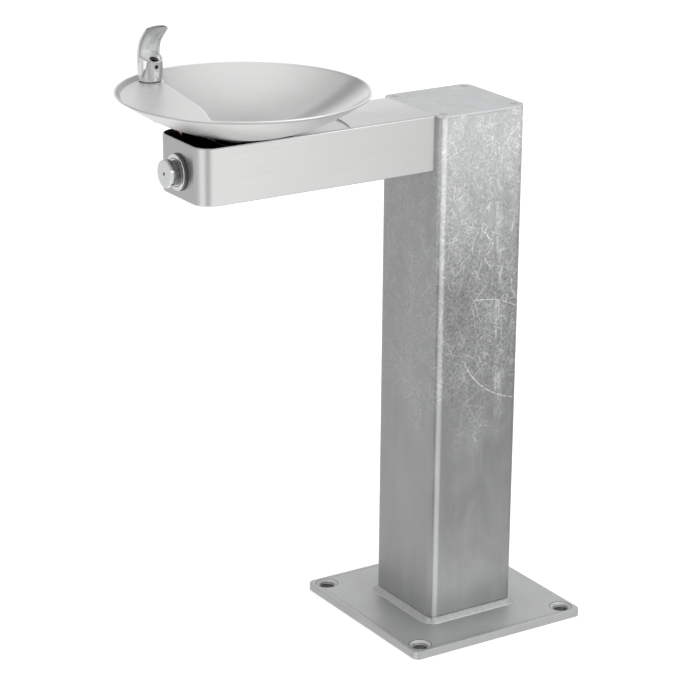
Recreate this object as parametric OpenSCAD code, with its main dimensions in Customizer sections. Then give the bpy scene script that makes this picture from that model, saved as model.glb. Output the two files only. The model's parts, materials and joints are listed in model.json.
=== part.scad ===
// Pedestal drinking fountain. Origin: centre of the post on the floor. +Z up, the user
// stands on the -Y side, +X is the user's right. Millimetres.

/* [Base and post] */
// Side of the square base plate
plate_w = 304.8; // [290:0.1:340]
// Thickness of the base plate
plate_t = 12.7; // [10:0.1:16]
// Distance between the anchor hole centres, along each side
bolt_span = 260.35; // [240:0.05:265]
// Diameter of the anchor holes
bolt_hole_d = 19; // [14:0.5:22]
// Diameter of the countersink round each anchor hole
bolt_sink_d = 33; // [26:0.5:36]
// Side of the square post
post_w = 152.4; // [150:0.1:156]
// Wall thickness of the post
post_wall = 4.8; // [4.6:0.1:5]
// Height of the cap plate's top face above the floor
top_z = 800; // [795:1:900]
// Thickness of the cap plate
cap_t = 3; // [2.5:0.5:3]

/* [Arm] */
// Length of the arm in front of the post
arm_len = 382.5; // [379:0.5:384]
// Width of the arm
arm_w = 127; // [126:0.1:130]
// Height of the arm
arm_h = 82.5; // [82:0.1:84]
// Radius of the arm's two front upright corners
arm_nose_r = 25.4; // [10:0.1:28]
// Thickness of the arm's sheet
sheet = 2; // [1.5:0.1:2]

/* [Bowl] */
// Outer radius of the bowl's rim
bowl_r = 178.8; // [178:0.1:180]
// Radius of the sphere that the outside of the dish follows
dish_r = 290; // [288:1:292]
// Thickness of the bowl's sheet
bowl_sheet = 1.5; // [1.4:0.1:1.6]
// Distance from the front face of the post to the bowl's centre
bowl_reach = 278.8; // [278:0.1:280]
// Height of the bowl's rim above the top of the arm
rim_rise = 58; // [57:0.5:58]

/* [Bubbler and shelf] */
// Drop from the rim to the shelf
shelf_drop = 6; // [5:0.5:6]
// Distance from the bowl's centre to the straight edge of the shelf
shelf_edge = 80; // [78:1:84]
// Compass direction of the shelf, seen from the bowl's centre
shelf_dir = -100; // [-102:1:-98]
// Radius of the bubbler's foot
bubbler_r = 16.2; // [16:0.1:17]
// Height of the bubbler above the shelf
bubbler_h = 82; // [78:1:84]
// Turn of the bubbler from the +X side towards the back
bubbler_turn = 10; // [0:1:20]

/* [Push button] */
// Radius of the button's cap
button_r = 19.7; // [18:0.1:20]
// How far the button's face stands out of the arm
button_out = 23; // [22:0.5:26]
// Height of the button's centre above the underside of the arm
button_rise = 38.3; // [38:0.1:39]

/* [Hidden] */
$fn = 64;

// Shared numbers
e = 0.5;                                   // how far a cutter runs past what it cuts
fit = 0.05;                                // running clearance on a radius
post_corner_r = 14;                        // outer corner radius of the post
post_in = post_w / 2 - post_wall;          // half the inside width of the post
post_face = -post_w / 2;                   // y of the post's front face
cap_z = top_z - cap_t;                     // top end of the post
screw_xy = 62;                             // cap screws, from the centre line
arm_z = top_z - arm_h;                     // underside of the arm
arm_front = post_face - arm_len;           // y of the arm's front face
bowl_y = post_face - bowl_reach;           // y of the bowl's centre
rim_z = top_z + rim_rise;                  // top of the rim
bead_r = 2.2;                              // radius of the rolled rim
bead_at = bowl_r - bead_r;
dish_z = rim_z - 63;                       // lowest point of the dish's sphere
ball_z = dish_z + dish_r;                  // centre of that sphere
cup_r = 38;                                // radius of the drain cup's floor
cup_z = dish_z - 3.5;                      // underside of the drain cup
cup_top = cup_z + bowl_sheet;
bracket_t = 3;
bracket_z = cup_z - 1.5 - bracket_t;       // underside of the bowl bracket
shelf_z = rim_z - shelf_drop;
button_z = arm_z + button_rise;

// Drain pipe sizes: 1 1/4 inch tube and its slip joints
pipe_r = 15.875;
pipe_bore = 14.6;
socket_r = 19.05;
socket_bore = 16;
drain_z = arm_z + 24.5;                    // height of the drain tube in the arm
bend_r = 18;                               // centre line radius of the elbows
slip_in = 16;                              // how far a tube slides into a socket
socket_len = 24;
front_joint_z = drain_z + bend_r + 8;      // end of the drain fitting's thread
front_socket_y = bowl_y + 63;              // mouth of the front elbow
rear_socket_y = -58;                       // mouth of the rear elbow
rear_y = -5;                               // the waste pipe's centre line
rear_socket_z = drain_z - 52;
floor_gap = 6;                             // pipe ends stop this far above the floor
coupling_len = 20;                         // free end of each pipe, for a coupling

// Water supply column
supply_x = 34;
supply_y = 20;
nipple_r = 10.67;
nipple_top = 64;
valve_z = 81;                              // stop valve's lever axis
hose_r = 6;
hose_bend = 40;
hose_z0 = 176;                             // bottom of the hose

// Bubbler position and its tube
bubbler_x = -136;
bubbler_y = bowl_y - 72.3;
shank_r = 8;
shank_z = shelf_z - 44;                    // lower end of the bubbler's shank
water_r = 2.5;                             // radius of the water way
nozzle_r = 6.5;
nozzle_h = 7;
nozzle_sunk = 3;                           // depth of the nozzle below the outlet face
grub_sunk = nozzle_sunk + 2.7;             // depth of the nozzle's grub screw
grub_turn = -12;                           // its direction round the nozzle
grub_r = 2.5;
belly_r = 18.3;                            // widest radius of the bubbler
lip_h = 29;                                // front lip above the shelf
face_tilt = 21;                            // slope of the outlet face
outlet_at = 9.5;                           // outlet, from the bubbler's axis
tube_r = 3.175;
tube_z = top_z + 3.5;                      // height of the tube where it leaves the arm
tube_bend = 10;
outlet_x = -48;                            // valve outlet
inlet_x = 34;                              // valve inlet

// Push button and valve along the y axis
barrel_bore = 17.2;
neck_r = 17.12;
barrel_r = 20;
cap_thick = 9;
flange_t = 5.5;
press_gasket_t = 1;
stem_r = 5;
stem_bore = 3.4;
cartridge_y = arm_front + 17.2;            // front face of the cartridge
button_face = arm_front - button_out;      // y of the button's face
button_root = button_face + 16.2;          // inner face of the button's crown
port_y = bubbler_y;                        // y of the valve's two ports

// ---------- shared shapes ----------

module rounded_rect(w, d, r) {
    square([w - 2 * r, d], center = true);
    square([w, d - 2 * r], center = true);
    for (x = [-1, 1], y = [-1, 1])
        translate([x * (w / 2 - r), y * (d / 2 - r)]) circle(r);
}

module slab(w, d, h, r) {
    linear_extrude(h) rounded_rect(w, d, r);
}

// Hexagon with its flats facing x, size across flats
module hex(af, h) {
    rotate(30) cylinder(r = af / 2 / cos(30), h = h, $fn = 6);
}

module hex_ring(af, h, bore) {
    difference() {
        hex(af, h);
        translate([0, 0, -e]) cylinder(r = bore, h = h + 2 * e);
    }
}

module ring(r, bore, h) {
    difference() {
        cylinder(r = r, h = h);
        translate([0, 0, -e]) cylinder(r = bore, h = h + 2 * e);
    }
}

// Turns a shape built up +Z so that it points along +Y or -Y
module along_y() { rotate([-90, 0, 0]) children(); }
module along_minus_y() { rotate([90, 0, 0]) children(); }

// Quarter bend of round bar: starts at the origin going +Z and turns towards +Y
module quarter_bend(r, bend) {
    translate([0, bend, 0]) rotate([90, 0, -90])
        rotate_extrude(angle = 90) translate([bend, 0]) circle(r);
}

// Socket with its mouth upwards, wide enough inside for the next tube to slide in
module socket_end() {
    difference() {
        cylinder(r = socket_r, h = socket_len);
        translate([0, 0, socket_len - slip_in - 2])
            cylinder(r = socket_bore, h = slip_in + 2 + e);
        translate([0, 0, -e]) cylinder(r = pipe_bore, h = socket_len);
    }
}

// Slip nut: screwed over a socket's mouth at z = 0, socket below, plain tube above, a
// flat facing along y
module slip_nut() {
    difference() {
        translate([0, 0, -8]) rotate(30) hex(46, 15);
        translate([0, 0, -8 - e]) cylinder(r = socket_r + 0.1, h = 8 + e);
        translate([0, 0, -e]) cylinder(r = pipe_r + 0.1, h = 8 + e);
    }
}

// Small tube nut, mouth of the fitting at z = 0, tube leaving upwards
module tube_nut(af, fitting_r, r) {
    difference() {
        translate([0, 0, -6]) hex(af, 11);
        translate([0, 0, -6 - e]) cylinder(r = fitting_r + 0.1, h = 6 + e);
        translate([0, 0, -e]) cylinder(r = r + 0.1, h = 6 + e);
    }
}

module pan_screw(head_r, head_h, r, length) {
    cylinder(r = r, h = length);
    translate([0, 0, length]) difference() {
        cylinder(r = head_r, h = head_h);
        translate([0, 0, head_h - 1.2]) cylinder(r = head_r * 0.42, h = 2, $fn = 6);
    }
}

// ---------- base and post ----------

module base_plate() {
    service_hole_r = 60;
    sink_depth = 5;
    color("darkgray") difference() {
        slab(plate_w, plate_w, plate_t, 9.5);
        translate([0, 0, -e]) cylinder(r = service_hole_r, h = plate_t + 2 * e);
        for (x = [-1, 1], y = [-1, 1])
            translate([x * bolt_span / 2, y * bolt_span / 2, 0]) {
                translate([0, 0, -e]) cylinder(d = bolt_hole_d, h = plate_t + 2 * e);
                translate([0, 0, plate_t - sink_depth])
                    cylinder(d1 = bolt_hole_d, d2 = bolt_sink_d, h = sink_depth);
            }
    }
}

// Triangular bead: a straight run along each side and a quarter cone at each corner
module foot_weld() {
    leg = 11;
    height = 9.5;
    reach = post_w / 2;
    straight = post_w - 2 * post_corner_r;
    color("gray") translate([0, 0, plate_t]) for (a = [0 : 90 : 270]) rotate(a) {
        translate([straight / 2, reach, 0]) rotate([90, 0, -90])
            linear_extrude(straight) polygon([[0, 0], [-leg, 0], [0, height]]);
        translate([reach - post_corner_r, reach - post_corner_r, 0])
            rotate_extrude(angle = 90) translate([post_corner_r, 0])
                polygon([[0, 0], [leg, 0], [0, height]]);
    }
}

module window_hole() {
    along_minus_y() translate([0, drain_z + 9, 0]) slab(92, 58, 40, 10);
}

arm_bolt_x = 52;
arm_bolt_zs = [arm_z + 13, arm_z + 49];

module at_arm_bolts() {
    for (x = [-1, 1], z = arm_bolt_zs)
        translate([x * arm_bolt_x, 0, z]) children();
}

cover_z = 170;                             // centre height of the rear access cover
cover_w = 110;
cover_h = 220;

module at_cover_screws() {
    for (x = [-1, 1], z = [-1, 1])
        translate([x * 47, 0, cover_z + z * 100]) children();
}

module post() {
    color("silver") difference() {
        translate([0, 0, plate_t])
            slab(post_w, post_w, cap_z - plate_t, post_corner_r);
        translate([0, 0, plate_t - e])
            slab(2 * post_in, 2 * post_in, cap_z, post_corner_r - post_wall);
        translate([0, post_face + 20, 0]) window_hole();
        at_arm_bolts() translate([0, post_face - e, 0]) along_y()
            cylinder(r = 4.5, h = post_wall + 2 * e);
        translate([0, post_w / 2 + 20, cover_z]) along_minus_y() slab(80, 184, 40, 8);
        at_cover_screws() translate([0, post_in - e, 0]) along_y()
            cylinder(r = 2.6, h = post_wall + 2 * e);
    }
}

module at_cap_screws() {
    for (x = [-1, 1], y = [-1, 1]) translate([x * screw_xy, y * screw_xy, 0]) children();
}

module post_cap() {
    color("lightgray") difference() {
        translate([0, 0, cap_z]) slab(post_w, post_w, cap_t, post_corner_r);
        at_cap_screws() {
            translate([0, 0, cap_z - e]) cylinder(r = 3.3, h = cap_t + 2 * e);
            translate([0, 0, top_z - 2.4]) cylinder(r1 = 3.3, r2 = 6.1, h = 2.4);
        }
    }
}

module cap_lugs() {
    lug_h = 20;
    color("dimgray") difference() {
        intersection() {
            translate([0, 0, cap_z - lug_h])
                slab(2 * post_in, 2 * post_in, lug_h, post_corner_r - post_wall);
            at_cap_screws() translate([-10, -10, cap_z - lug_h]) cube([20, 20, lug_h]);
        }
        at_cap_screws() translate([0, 0, cap_z - lug_h - e])
            cylinder(r = 3.15, h = lug_h + 2 * e);
    }
}

// Flush heads, each with the two small sockets of a spanner driver
module cap_screws() {
    color("gray") at_cap_screws() difference() {
        union() {
            translate([0, 0, cap_z - 16]) cylinder(r = 3.1, h = 18);
            translate([0, 0, top_z - 2.4]) cylinder(r1 = 3.1, r2 = 5.9, h = 2.4);
        }
        rotate(57) for (s = [-3, 3])
            translate([s, 0, top_z - 1.4]) cylinder(r = 0.95, h = 2);
    }
}

module access_cover() {
    color("lightgray") difference() {
        translate([0, post_w / 2, cover_z]) along_y() slab(cover_w, cover_h, 2.5, 6);
        at_cover_screws() translate([0, post_w / 2 - e, 0]) along_y()
            cylinder(r = 2.8, h = 4);
    }
}

module access_cover_screws() {
    color("gray") at_cover_screws() translate([0, post_w / 2 - 7.5, 0]) along_y()
        pan_screw(4.6, 2.4, 2.5, 10);
}

// Shelf welded across the foot of the post, steadying both pipes
module pipe_bracket() {
    color("dimgray") difference() {
        translate([-post_in, -30, 36]) cube([2 * post_in, 76, 3]);
        translate([0, rear_y, 35]) cylinder(r = pipe_r + 0.3, h = 5);
        translate([supply_x, supply_y, 35]) cylinder(r = nipple_r + 0.3, h = 5);
    }
}

// ---------- arm ----------

// Plan of the arm, shrunk by 'inset' on its three free sides
module arm_plan(inset) {
    r = arm_nose_r - inset;
    half = arm_w / 2 - inset;
    front = arm_front + inset;
    translate([-half, front + r]) square([2 * half, post_face - front - r]);
    translate([-half + r, front]) square([2 * (half - r), r + e]);
    for (x = [-1, 1]) translate([x * (half - r), front + r]) circle(r);
}

hatch_w = 84;
hatch_y0 = arm_front + 32;
hatch_len = 250;

module at_hatch_screws() {
    for (x = [-47, 47], y = [20, hatch_len / 2, hatch_len - 20])
        translate([x, hatch_y0 + y, 0]) children();
}

trough_r = 150;                            // open trough, round the bowl's centre

module arm_shell() {
    color("lightsteelblue") difference() {
        translate([0, 0, arm_z]) linear_extrude(arm_h) arm_plan(0);
        // inside of the folded sheet, open towards the post
        translate([0, 0, arm_z + sheet]) linear_extrude(arm_h - 2 * sheet) {
            arm_plan(sheet);
            translate([-arm_w / 2 + sheet, post_face - e])
                square([arm_w - 2 * sheet, 2 * e]);
        }
        // open trough under the bowl, cut on an arc round the bowl's centre
        translate([0, 0, top_z - sheet - e]) linear_extrude(sheet + 2 * e)
            intersection() {
                arm_plan(sheet);
                translate([0, bowl_y]) circle(trough_r, $fn = 128);
            }
        translate([-hatch_w / 2, hatch_y0, arm_z - e]) cube([hatch_w, hatch_len, 4]);
        at_hatch_screws() translate([0, 0, arm_z - e]) cylinder(r = 2.1, h = 4);
        translate([0, arm_front - e, button_z]) along_y()
            cylinder(r = barrel_r + 0.3, h = sheet + 2 * e);
    }
}

module arm_bottom_cover() {
    color("lightgray") difference() {
        translate([0, hatch_y0 + hatch_len / 2, arm_z - 1.5])
            slab(hatch_w + 22, hatch_len + 16, 1.5, 5);
        at_hatch_screws() translate([0, 0, arm_z - 2]) cylinder(r = 2.3, h = 3);
    }
}

module arm_cover_screws() {
    color("gray") at_hatch_screws() translate([0, 0, arm_z + 4.5]) mirror([0, 0, 1])
        pan_screw(3.8, 2, 2, 6);
}

module arm_flange() {
    color("dimgray") difference() {
        translate([-arm_w / 2 + sheet, post_face - 3, arm_z + sheet])
            cube([arm_w - 2 * sheet, 3, arm_h - 2 * sheet]);
        translate([0, post_face + 20, 0]) window_hole();
        at_arm_bolts() translate([0, post_face - 3 - e, 0]) along_y()
            cylinder(r = 4.5, h = 4);
    }
}

module arm_bolts() {
    color("gray") at_arm_bolts() translate([0, post_face - 3, 0]) {
        along_y() cylinder(r = 4, h = 20);
        along_minus_y() hex(13, 5.3);
    }
}

module arm_backing_bars() {
    color("dimgray") difference() {
        for (x = [-1, 1])
            translate([x * arm_bolt_x - 8, -post_in, arm_z + 4]) cube([16, 3, 54]);
        at_arm_bolts() translate([0, -post_in - e, 0]) along_y() cylinder(r = 4.5, h = 4);
    }
}

module arm_nuts() {
    color("gray") at_arm_bolts() translate([0, -post_in + 3, 0]) along_y()
        hex_ring(13, 6.5, 4.1);
}

// ---------- bowl ----------

stud_at = 34;                              // bowl studs, from the drain's axis

module at_studs() {
    for (s = [-1, 1]) translate([0, bowl_y + s * stud_at, 0]) children();
}

// Bridge across the arm, its two flanges welded to the arm's sides; its plate steps up
// behind the bowl and closes the rear of the trough just under the arm's top
module bowl_bracket() {
    half = arm_w / 2 - sheet;
    step_z = top_z - sheet - bracket_z;
    rear = trough_r + 6;
    color("dimgray") difference() {
        union() {
            translate([-half, bowl_y - 45, bracket_z]) cube([2 * half, 95, bracket_t]);
            translate([-half, bowl_y + 47, bracket_z]) cube([2 * half, 3, step_z]);
            translate([-half, bowl_y + 47, bracket_z + step_z - bracket_t])
                cube([2 * half, rear - 47, bracket_t]);
            for (x = [-half, half - 2.5])
                translate([x, bowl_y - 45, bracket_z - 26]) cube([2.5, 90, 28]);
        }
        translate([0, bowl_y, bracket_z - e]) cylinder(r = 20, h = 4);
        at_studs() translate([0, 0, bracket_z - e]) cylinder(r = 3.3, h = 4);
    }
}

// Dish, drain cup and rolled rim, one pressing of revolution
module bowl() {
    inner = dish_r - bowl_sheet;
    cup_wall = 2.6;
    color("gainsboro") translate([0, bowl_y, 0]) difference() {
        union() {
            rotate_extrude($fn = 128) difference() {
                intersection() {
                    translate([0, ball_z]) circle(dish_r);
                    translate([0, dish_z - 1]) square([bead_at, rim_z - dish_z - 1]);
                }
                translate([0, ball_z]) circle(inner);
            }
            rotate_extrude($fn = 128) translate([bead_at, rim_z - bead_r])
                circle(bead_r, $fn = 32);
            translate([0, 0, cup_z]) cylinder(r = cup_r + cup_wall, h = 7.5);
        }
        translate([0, 0, cup_top]) cylinder(r1 = cup_r - 2, r2 = cup_r, h = 8);
        translate([0, 0, cup_z - e]) cylinder(r = socket_r + 0.55, h = 4);
        translate([bubbler_x, bubbler_y - bowl_y, dish_z]) cylinder(r = shank_r + 0.6, h = 70);
    }
}

module bowl_studs() {
    color("gray") at_studs() translate([0, 0, cup_z - 18]) cylinder(r = 3, h = 18);
}

module bowl_nuts() {
    color("gray") at_studs() translate([0, 0, bracket_z - 5]) hex_ring(10, 5, 3.1);
}

// Plan of the shelf: beyond a straight edge that steps outwards near one end, plus a
// round landing for the bubbler; 'inset' shrinks it by the sheet's thickness
function edge_ramp(s) = s < 45 ? 0 : s > 135 ? 1 : (1 - cos(2 * (s - 45))) / 2;

module shelf_plan(inset) {
    step = 11;
    edge = [for (s = [-180, for (k = [45 : 7.5 : 135]) k, 180])
        [shelf_edge + inset + step * edge_ramp(s), s]];
    intersection() {
        circle(bowl_r, $fn = 128);
        union() {
            rotate(shelf_dir) polygon(concat(edge, [[200, 180], [200, -180]]));
            translate([bubbler_x, bubbler_y - bowl_y]) circle(bubbler_r + 4 - inset);
        }
    }
}

module bubbler_shelf() {
    color("whitesmoke") translate([0, bowl_y, 0]) difference() {
        intersection() {
            translate([0, 0, dish_z]) linear_extrude(shelf_z - dish_z) shelf_plan(0);
            translate([0, 0, ball_z]) sphere(dish_r - bowl_sheet - fit, $fn = 128);
        }
        translate([0, 0, dish_z - e]) linear_extrude(shelf_z - dish_z - bowl_sheet + e)
            shelf_plan(bowl_sheet);
        translate([bubbler_x, bubbler_y - bowl_y, dish_z]) cylinder(r = shank_r + 0.3, h = 70);
    }
}

// ---------- drain ----------

module drain_fitting() {
    flange_top = cup_top + 2;
    color("silver") translate([0, bowl_y, 0]) difference() {
        union() {
            translate([0, 0, cup_top]) cylinder(r = 33, h = 2);
            translate([0, 0, front_joint_z])
                cylinder(r = socket_r, h = cup_top - front_joint_z);
        }
        difference() {
            translate([0, 0, front_joint_z - e])
                cylinder(r = socket_bore, h = flange_top - front_joint_z + 2 * e);
            // crossbar that takes the grid's screw
            translate([-20, -3, cup_top - 6]) cube([40, 6, 8]);
        }
        translate([0, 0, cup_top - 8]) cylinder(r = 2.6, h = 12);
    }
}

module drain_grid() {
    hole_r = 2.6;
    color("silver") translate([0, bowl_y, cup_top + 2]) difference() {
        cylinder(r = 32, h = 1.5);
        translate([0, 0, -e]) {
            cylinder(r = 2.8, h = 3);
            for (k = [1 : 3], i = [0 : 6 * k - 1])
                rotate(i * 60 / k) translate([3 + 7.6 * k, 0, 0]) cylinder(r = hole_r, h = 3);
        }
    }
}

module grid_screw() {
    color("gray") translate([0, bowl_y, cup_top - 6.5]) pan_screw(5, 2.2, 2.5, 10);
}

module drain_gasket() {
    color("#303030") translate([0, bowl_y, cup_z - 1.5]) ring(28, 19.7, 1.5);
}

module drain_locknut() {
    height = 8;
    color("goldenrod") translate([0, bowl_y, bracket_z - height])
        hex_ring(46, height, socket_r + 0.1);
}

module slip_nuts() {
    color("silver") {
        translate([0, bowl_y, front_joint_z]) mirror([0, 0, 1]) slip_nut();
        translate([0, front_socket_y, drain_z]) along_y() slip_nut();
        translate([0, rear_socket_y, drain_z]) along_minus_y() slip_nut();
        translate([0, rear_y, rear_socket_z]) mirror([0, 0, 1]) slip_nut();
    }
}

module elbow() {
    difference() {
        quarter_bend(pipe_r, bend_r);
        quarter_bend(pipe_bore, bend_r);
    }
}

// Straight run of elbow ending in a socket whose mouth is 'reach' from the bend
module elbow_arm(reach) {
    ring(pipe_r, pipe_bore, reach - socket_len + 1);
    translate([0, 0, reach - socket_len]) socket_end();
}

// Down from the drain fitting, round, and back along the arm
module drain_elbow_front() {
    color("goldenrod") translate([0, bowl_y, drain_z + bend_r]) {
        mirror([0, 0, 1]) elbow();
        ring(pipe_r, pipe_bore, front_joint_z - drain_z - bend_r + slip_in - 1);
        translate([0, bend_r, -bend_r]) along_y()
            elbow_arm(front_socket_y - bowl_y - bend_r);
    }
}

module drain_tube() {
    y0 = front_socket_y - slip_in;
    y1 = rear_socket_y + slip_in;
    color("silver") translate([0, y0, drain_z]) along_y() ring(pipe_r, pipe_bore, y1 - y0);
}

// Back from the arm, round, and down inside the post
module drain_elbow_rear() {
    color("goldenrod") translate([0, rear_y, drain_z - bend_r]) {
        mirror([0, 1, 0]) elbow();
        mirror([0, 0, 1]) elbow_arm(drain_z - bend_r - rear_socket_z);
        translate([0, -bend_r, bend_r]) along_minus_y()
            elbow_arm(rear_y - bend_r - rear_socket_y);
    }
}

// Shallow groove round a pipe, the depth to which the building's coupling goes on
module depth_mark(r, depth) {
    translate([0, 0, floor_gap + coupling_len]) ring(r + e, r - depth, 2.5);
}

module waste_pipe() {
    color("silver") translate([0, rear_y, 0]) difference() {
        translate([0, 0, floor_gap])
            ring(pipe_r, pipe_bore, rear_socket_z + slip_in - floor_gap);
        depth_mark(pipe_r, 0.5);
    }
}

// ---------- bubbler ----------

module at_bubbler() {
    translate([bubbler_x, bubbler_y, 0]) children();
}

module bubbler_gasket() {
    color("#202020") at_bubbler() translate([0, 0, shelf_z])
        ring(bubbler_r - 0.3, shank_r + 0.3, 1);
}

// Bubbler's own frame: +X is the way the stream leaves
module facing_bowl() {
    at_bubbler() rotate(bubbler_turn) children();
}

// Centre of the outlet on the sloping face, +Z square to that face
module at_outlet() {
    outlet_h = lip_h + (belly_r - outlet_at) * tan(face_tilt);
    facing_bowl() translate([outlet_at, 0, shelf_z + outlet_h]) rotate([0, face_tilt, 0])
        children();
}

// Round bar of radius r, bent forwards about a level axis in front of it
module leaning_bar(r, axis_x, angle) {
    translate([axis_x, 0, 0]) rotate([90, 0, 0]) mirror([1, 0, 0])
        rotate_extrude(angle = angle) translate([axis_x, 0]) circle(r);
}

// Body of revolution, sliced by a sloping outlet face; behind the face a hollow guard
// that leans over the stream, its front cut away on an arc
module bubbler_body() {
    foot = shelf_z + 1;
    guard_z = shelf_z + 31;                // start of the guard
    guard_wall = 2.6;
    lean_r = 57;                           // bend radius of the guard's back
    lean = asin((shelf_z + bubbler_h - guard_z) / lean_r);
    front_r = 53;                          // arc of the guard's front edges
    front_x = 52.7;
    front_z = 39.4;
    sump_r = 5;
    sump = nozzle_sunk + nozzle_h + 5;
    color("lightcyan") difference() {
        facing_bowl() {
            translate([0, 0, foot]) rotate_extrude() polygon([
                [0, 0], [bubbler_r, 0], [bubbler_r + 1.2, 6], [belly_r, 19],
                [belly_r, guard_z - foot], [0, guard_z - foot],
            ]);
            translate([0, 0, guard_z]) leaning_bar(belly_r, lean_r - belly_r, lean);
            translate([0, 0, shank_z]) cylinder(r = shank_r, h = foot - shank_z + 1);
        }
        intersection() {
            at_outlet() translate([-60, -40, 0]) cube([120, 80, 70]);
            facing_bowl() {
                translate([0, 0, guard_z])
                    leaning_bar(belly_r - guard_wall, lean_r - belly_r, lean + 2);
                translate([front_x, -40, shelf_z + front_z]) along_y()
                    cylinder(r = front_r, h = 80);
            }
        }
        at_outlet() {
            seat = nozzle_sunk + nozzle_h;
            translate([0, 0, -seat]) cylinder(r = nozzle_r + fit, h = seat + e);
            translate([0, 0, -sump]) cylinder(r = sump_r, h = sump);
            translate([0, 0, -grub_sunk]) rotate(grub_turn) rotate([0, 90, 0])
                cylinder(r = grub_r + 0.1, h = 30);
        }
        at_bubbler() translate([0, 0, shank_z - e])
            cylinder(r = water_r, h = shelf_z + 21 - shank_z);
    }
}

module bubbler_nozzle() {
    mouth_r = 4.2;
    color("lightcyan") at_outlet() translate([0, 0, -nozzle_sunk - nozzle_h]) difference() {
        cylinder(r = nozzle_r, h = nozzle_h);
        translate([0, 0, -e]) cylinder(r = water_r, h = nozzle_h + 2 * e);
        translate([0, 0, nozzle_h - 2]) cylinder(r = mouth_r, h = 2 + e);
    }
}

// Sunk grub screw that holds the nozzle, behind the small hole in the body's front
module nozzle_screw() {
    length = 4;
    color("gray") at_outlet() translate([0, 0, -grub_sunk]) rotate(grub_turn)
        rotate([0, 90, 0]) translate([0, 0, nozzle_r + 0.1]) difference() {
            cylinder(r = grub_r, h = length);
            translate([0, 0, length - 2]) cylinder(r = 1.4, h = 2 + e, $fn = 6);
        }
}

// Level underneath and curved on top to sit against the outside of the dish
module bubbler_wedge_washer() {
    color("goldenrod") difference() {
        at_bubbler() translate([0, 0, dish_z + 30]) ring(14, shank_r + 0.3, 22);
        translate([0, bowl_y, ball_z]) sphere(dish_r + fit, $fn = 128);
    }
}

module bubbler_locknut() {
    color("goldenrod") at_bubbler() translate([0, 0, dish_z + 24.5])
        hex_ring(24, 5.5, shank_r + 0.1);
}

// Socket for the shank on a slim bend, short enough to stay hidden behind the dish
module bubbler_elbow() {
    low = tube_z - 4.5;
    socket = 10;                           // how far the shank goes in
    bore = 2.5;
    color("goldenrod") at_bubbler() difference() {
        union() {
            translate([0, 0, low]) cylinder(r = 5.4, h = shank_z - low);
            translate([0, 0, shank_z - 1.5]) cylinder(r = 9.6, h = socket + 1.5);
            translate([0, 0, tube_z]) rotate([0, 90, 0]) cylinder(r = 5, h = 20);
        }
        translate([0, 0, shank_z - 0.5]) cylinder(r = shank_r + 0.1, h = socket + 1);
        translate([0, 0, tube_z]) cylinder(r = bore, h = 20);
        translate([0, 0, tube_z]) rotate([0, 90, 0]) cylinder(r = bore, h = 22);
        translate([12, 0, tube_z]) rotate([0, 90, 0]) cylinder(r = tube_r + 0.1, h = 12);
    }
}

// Up from the valve, over the side of the arm and level to the bubbler
module tube_run(r) {
    drop_z = tube_z - tube_bend;
    translate([outlet_x, bubbler_y, button_z + 12]) cylinder(r = r, h = drop_z - button_z - 12);
    translate([outlet_x, bubbler_y, drop_z]) rotate(90) quarter_bend(r, tube_bend);
    translate([bubbler_x + 13, bubbler_y, tube_z]) rotate([0, 90, 0])
        cylinder(r = r, h = outlet_x - tube_bend - bubbler_x - 13);
}

module bubbler_tube() {
    color("peru") difference() {
        tube_run(tube_r);
        tube_run(tube_r - 0.8);
    }
}

module tube_nuts() {
    color("goldenrod") {
        translate([outlet_x, bubbler_y, button_z + 18]) tube_nut(14, 5, tube_r);
        translate([bubbler_x + 20, bubbler_y, tube_z]) rotate([0, 90, 0])
            tube_nut(14, 5, tube_r);
    }
}

// ---------- push button and valve ----------

module on_button_axis(y) {
    translate([0, y, button_z]) along_y() children();
}

module button_gasket() {
    color("#202020") on_button_axis(arm_front - press_gasket_t)
        ring(26.4, barrel_r + 0.3, press_gasket_t);
}

// Bevelled ring outside the arm, threaded barrel through its wall
module button_flange() {
    ring_r = 26;
    bevel = 3;
    color("lightcyan") on_button_axis(arm_front - press_gasket_t - flange_t) difference() {
        union() {
            cylinder(r1 = ring_r - bevel, r2 = ring_r, h = flange_t / 2);
            translate([0, 0, flange_t / 2]) cylinder(r = ring_r, h = flange_t / 2);
            cylinder(r = barrel_r, h = flange_t + press_gasket_t + 14.2);
        }
        translate([0, 0, -e]) cylinder(r = barrel_bore, h = 40);
    }
}

module push_button() {
    neck = 28.2;                           // from the face to the open inner end
    chamfer = 1.2;
    color("lightcyan") on_button_axis(button_face) difference() {
        union() {
            cylinder(r1 = button_r - chamfer, r2 = button_r, h = chamfer);
            translate([0, 0, chamfer]) cylinder(r = button_r, h = cap_thick - chamfer);
            cylinder(r = neck_r, h = neck);
        }
        translate([0, 0, -e]) cylinder(r = 2.4, h = 30);
        translate([0, 0, button_root - button_face]) cylinder(r = 13, h = 20);
    }
}

module valve_stem() {
    color("silver") on_button_axis(button_root) ring(stem_r, stem_bore, 49);
}

module stem_seal() {
    color("#202020") on_button_axis(cartridge_y + 18.1) ring(8, stem_r, 4);
}

// Square-wire coil between the cartridge and the crown of the button
module button_spring() {
    turns = 5;
    length = cartridge_y - button_root;
    wire = 1.6;
    coil_r = 10.5;
    sweep = 360 * wire * turns / (length - wire);
    arc = [for (k = [0 : 6]) k * sweep / 6];
    color("gray") on_button_axis(button_root)
        linear_extrude(length, twist = -360 * turns, slices = 90, $fn = 14)
            polygon(concat(
                [for (a = arc) (coil_r + wire / 2) * [cos(a), sin(a)]],
                [for (k = [6 : -1 : 0]) (coil_r - wire / 2) * [cos(arc[k]), sin(arc[k])]]
            ));
}

module valve_cartridge() {
    color("goldenrod") on_button_axis(cartridge_y) ring(14.9, stem_r + 0.06, 18);
}

module valve_locknut() {
    color("goldenrod") on_button_axis(arm_front + sheet) hex_ring(50, 7, barrel_r + 0.1);
}

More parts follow.
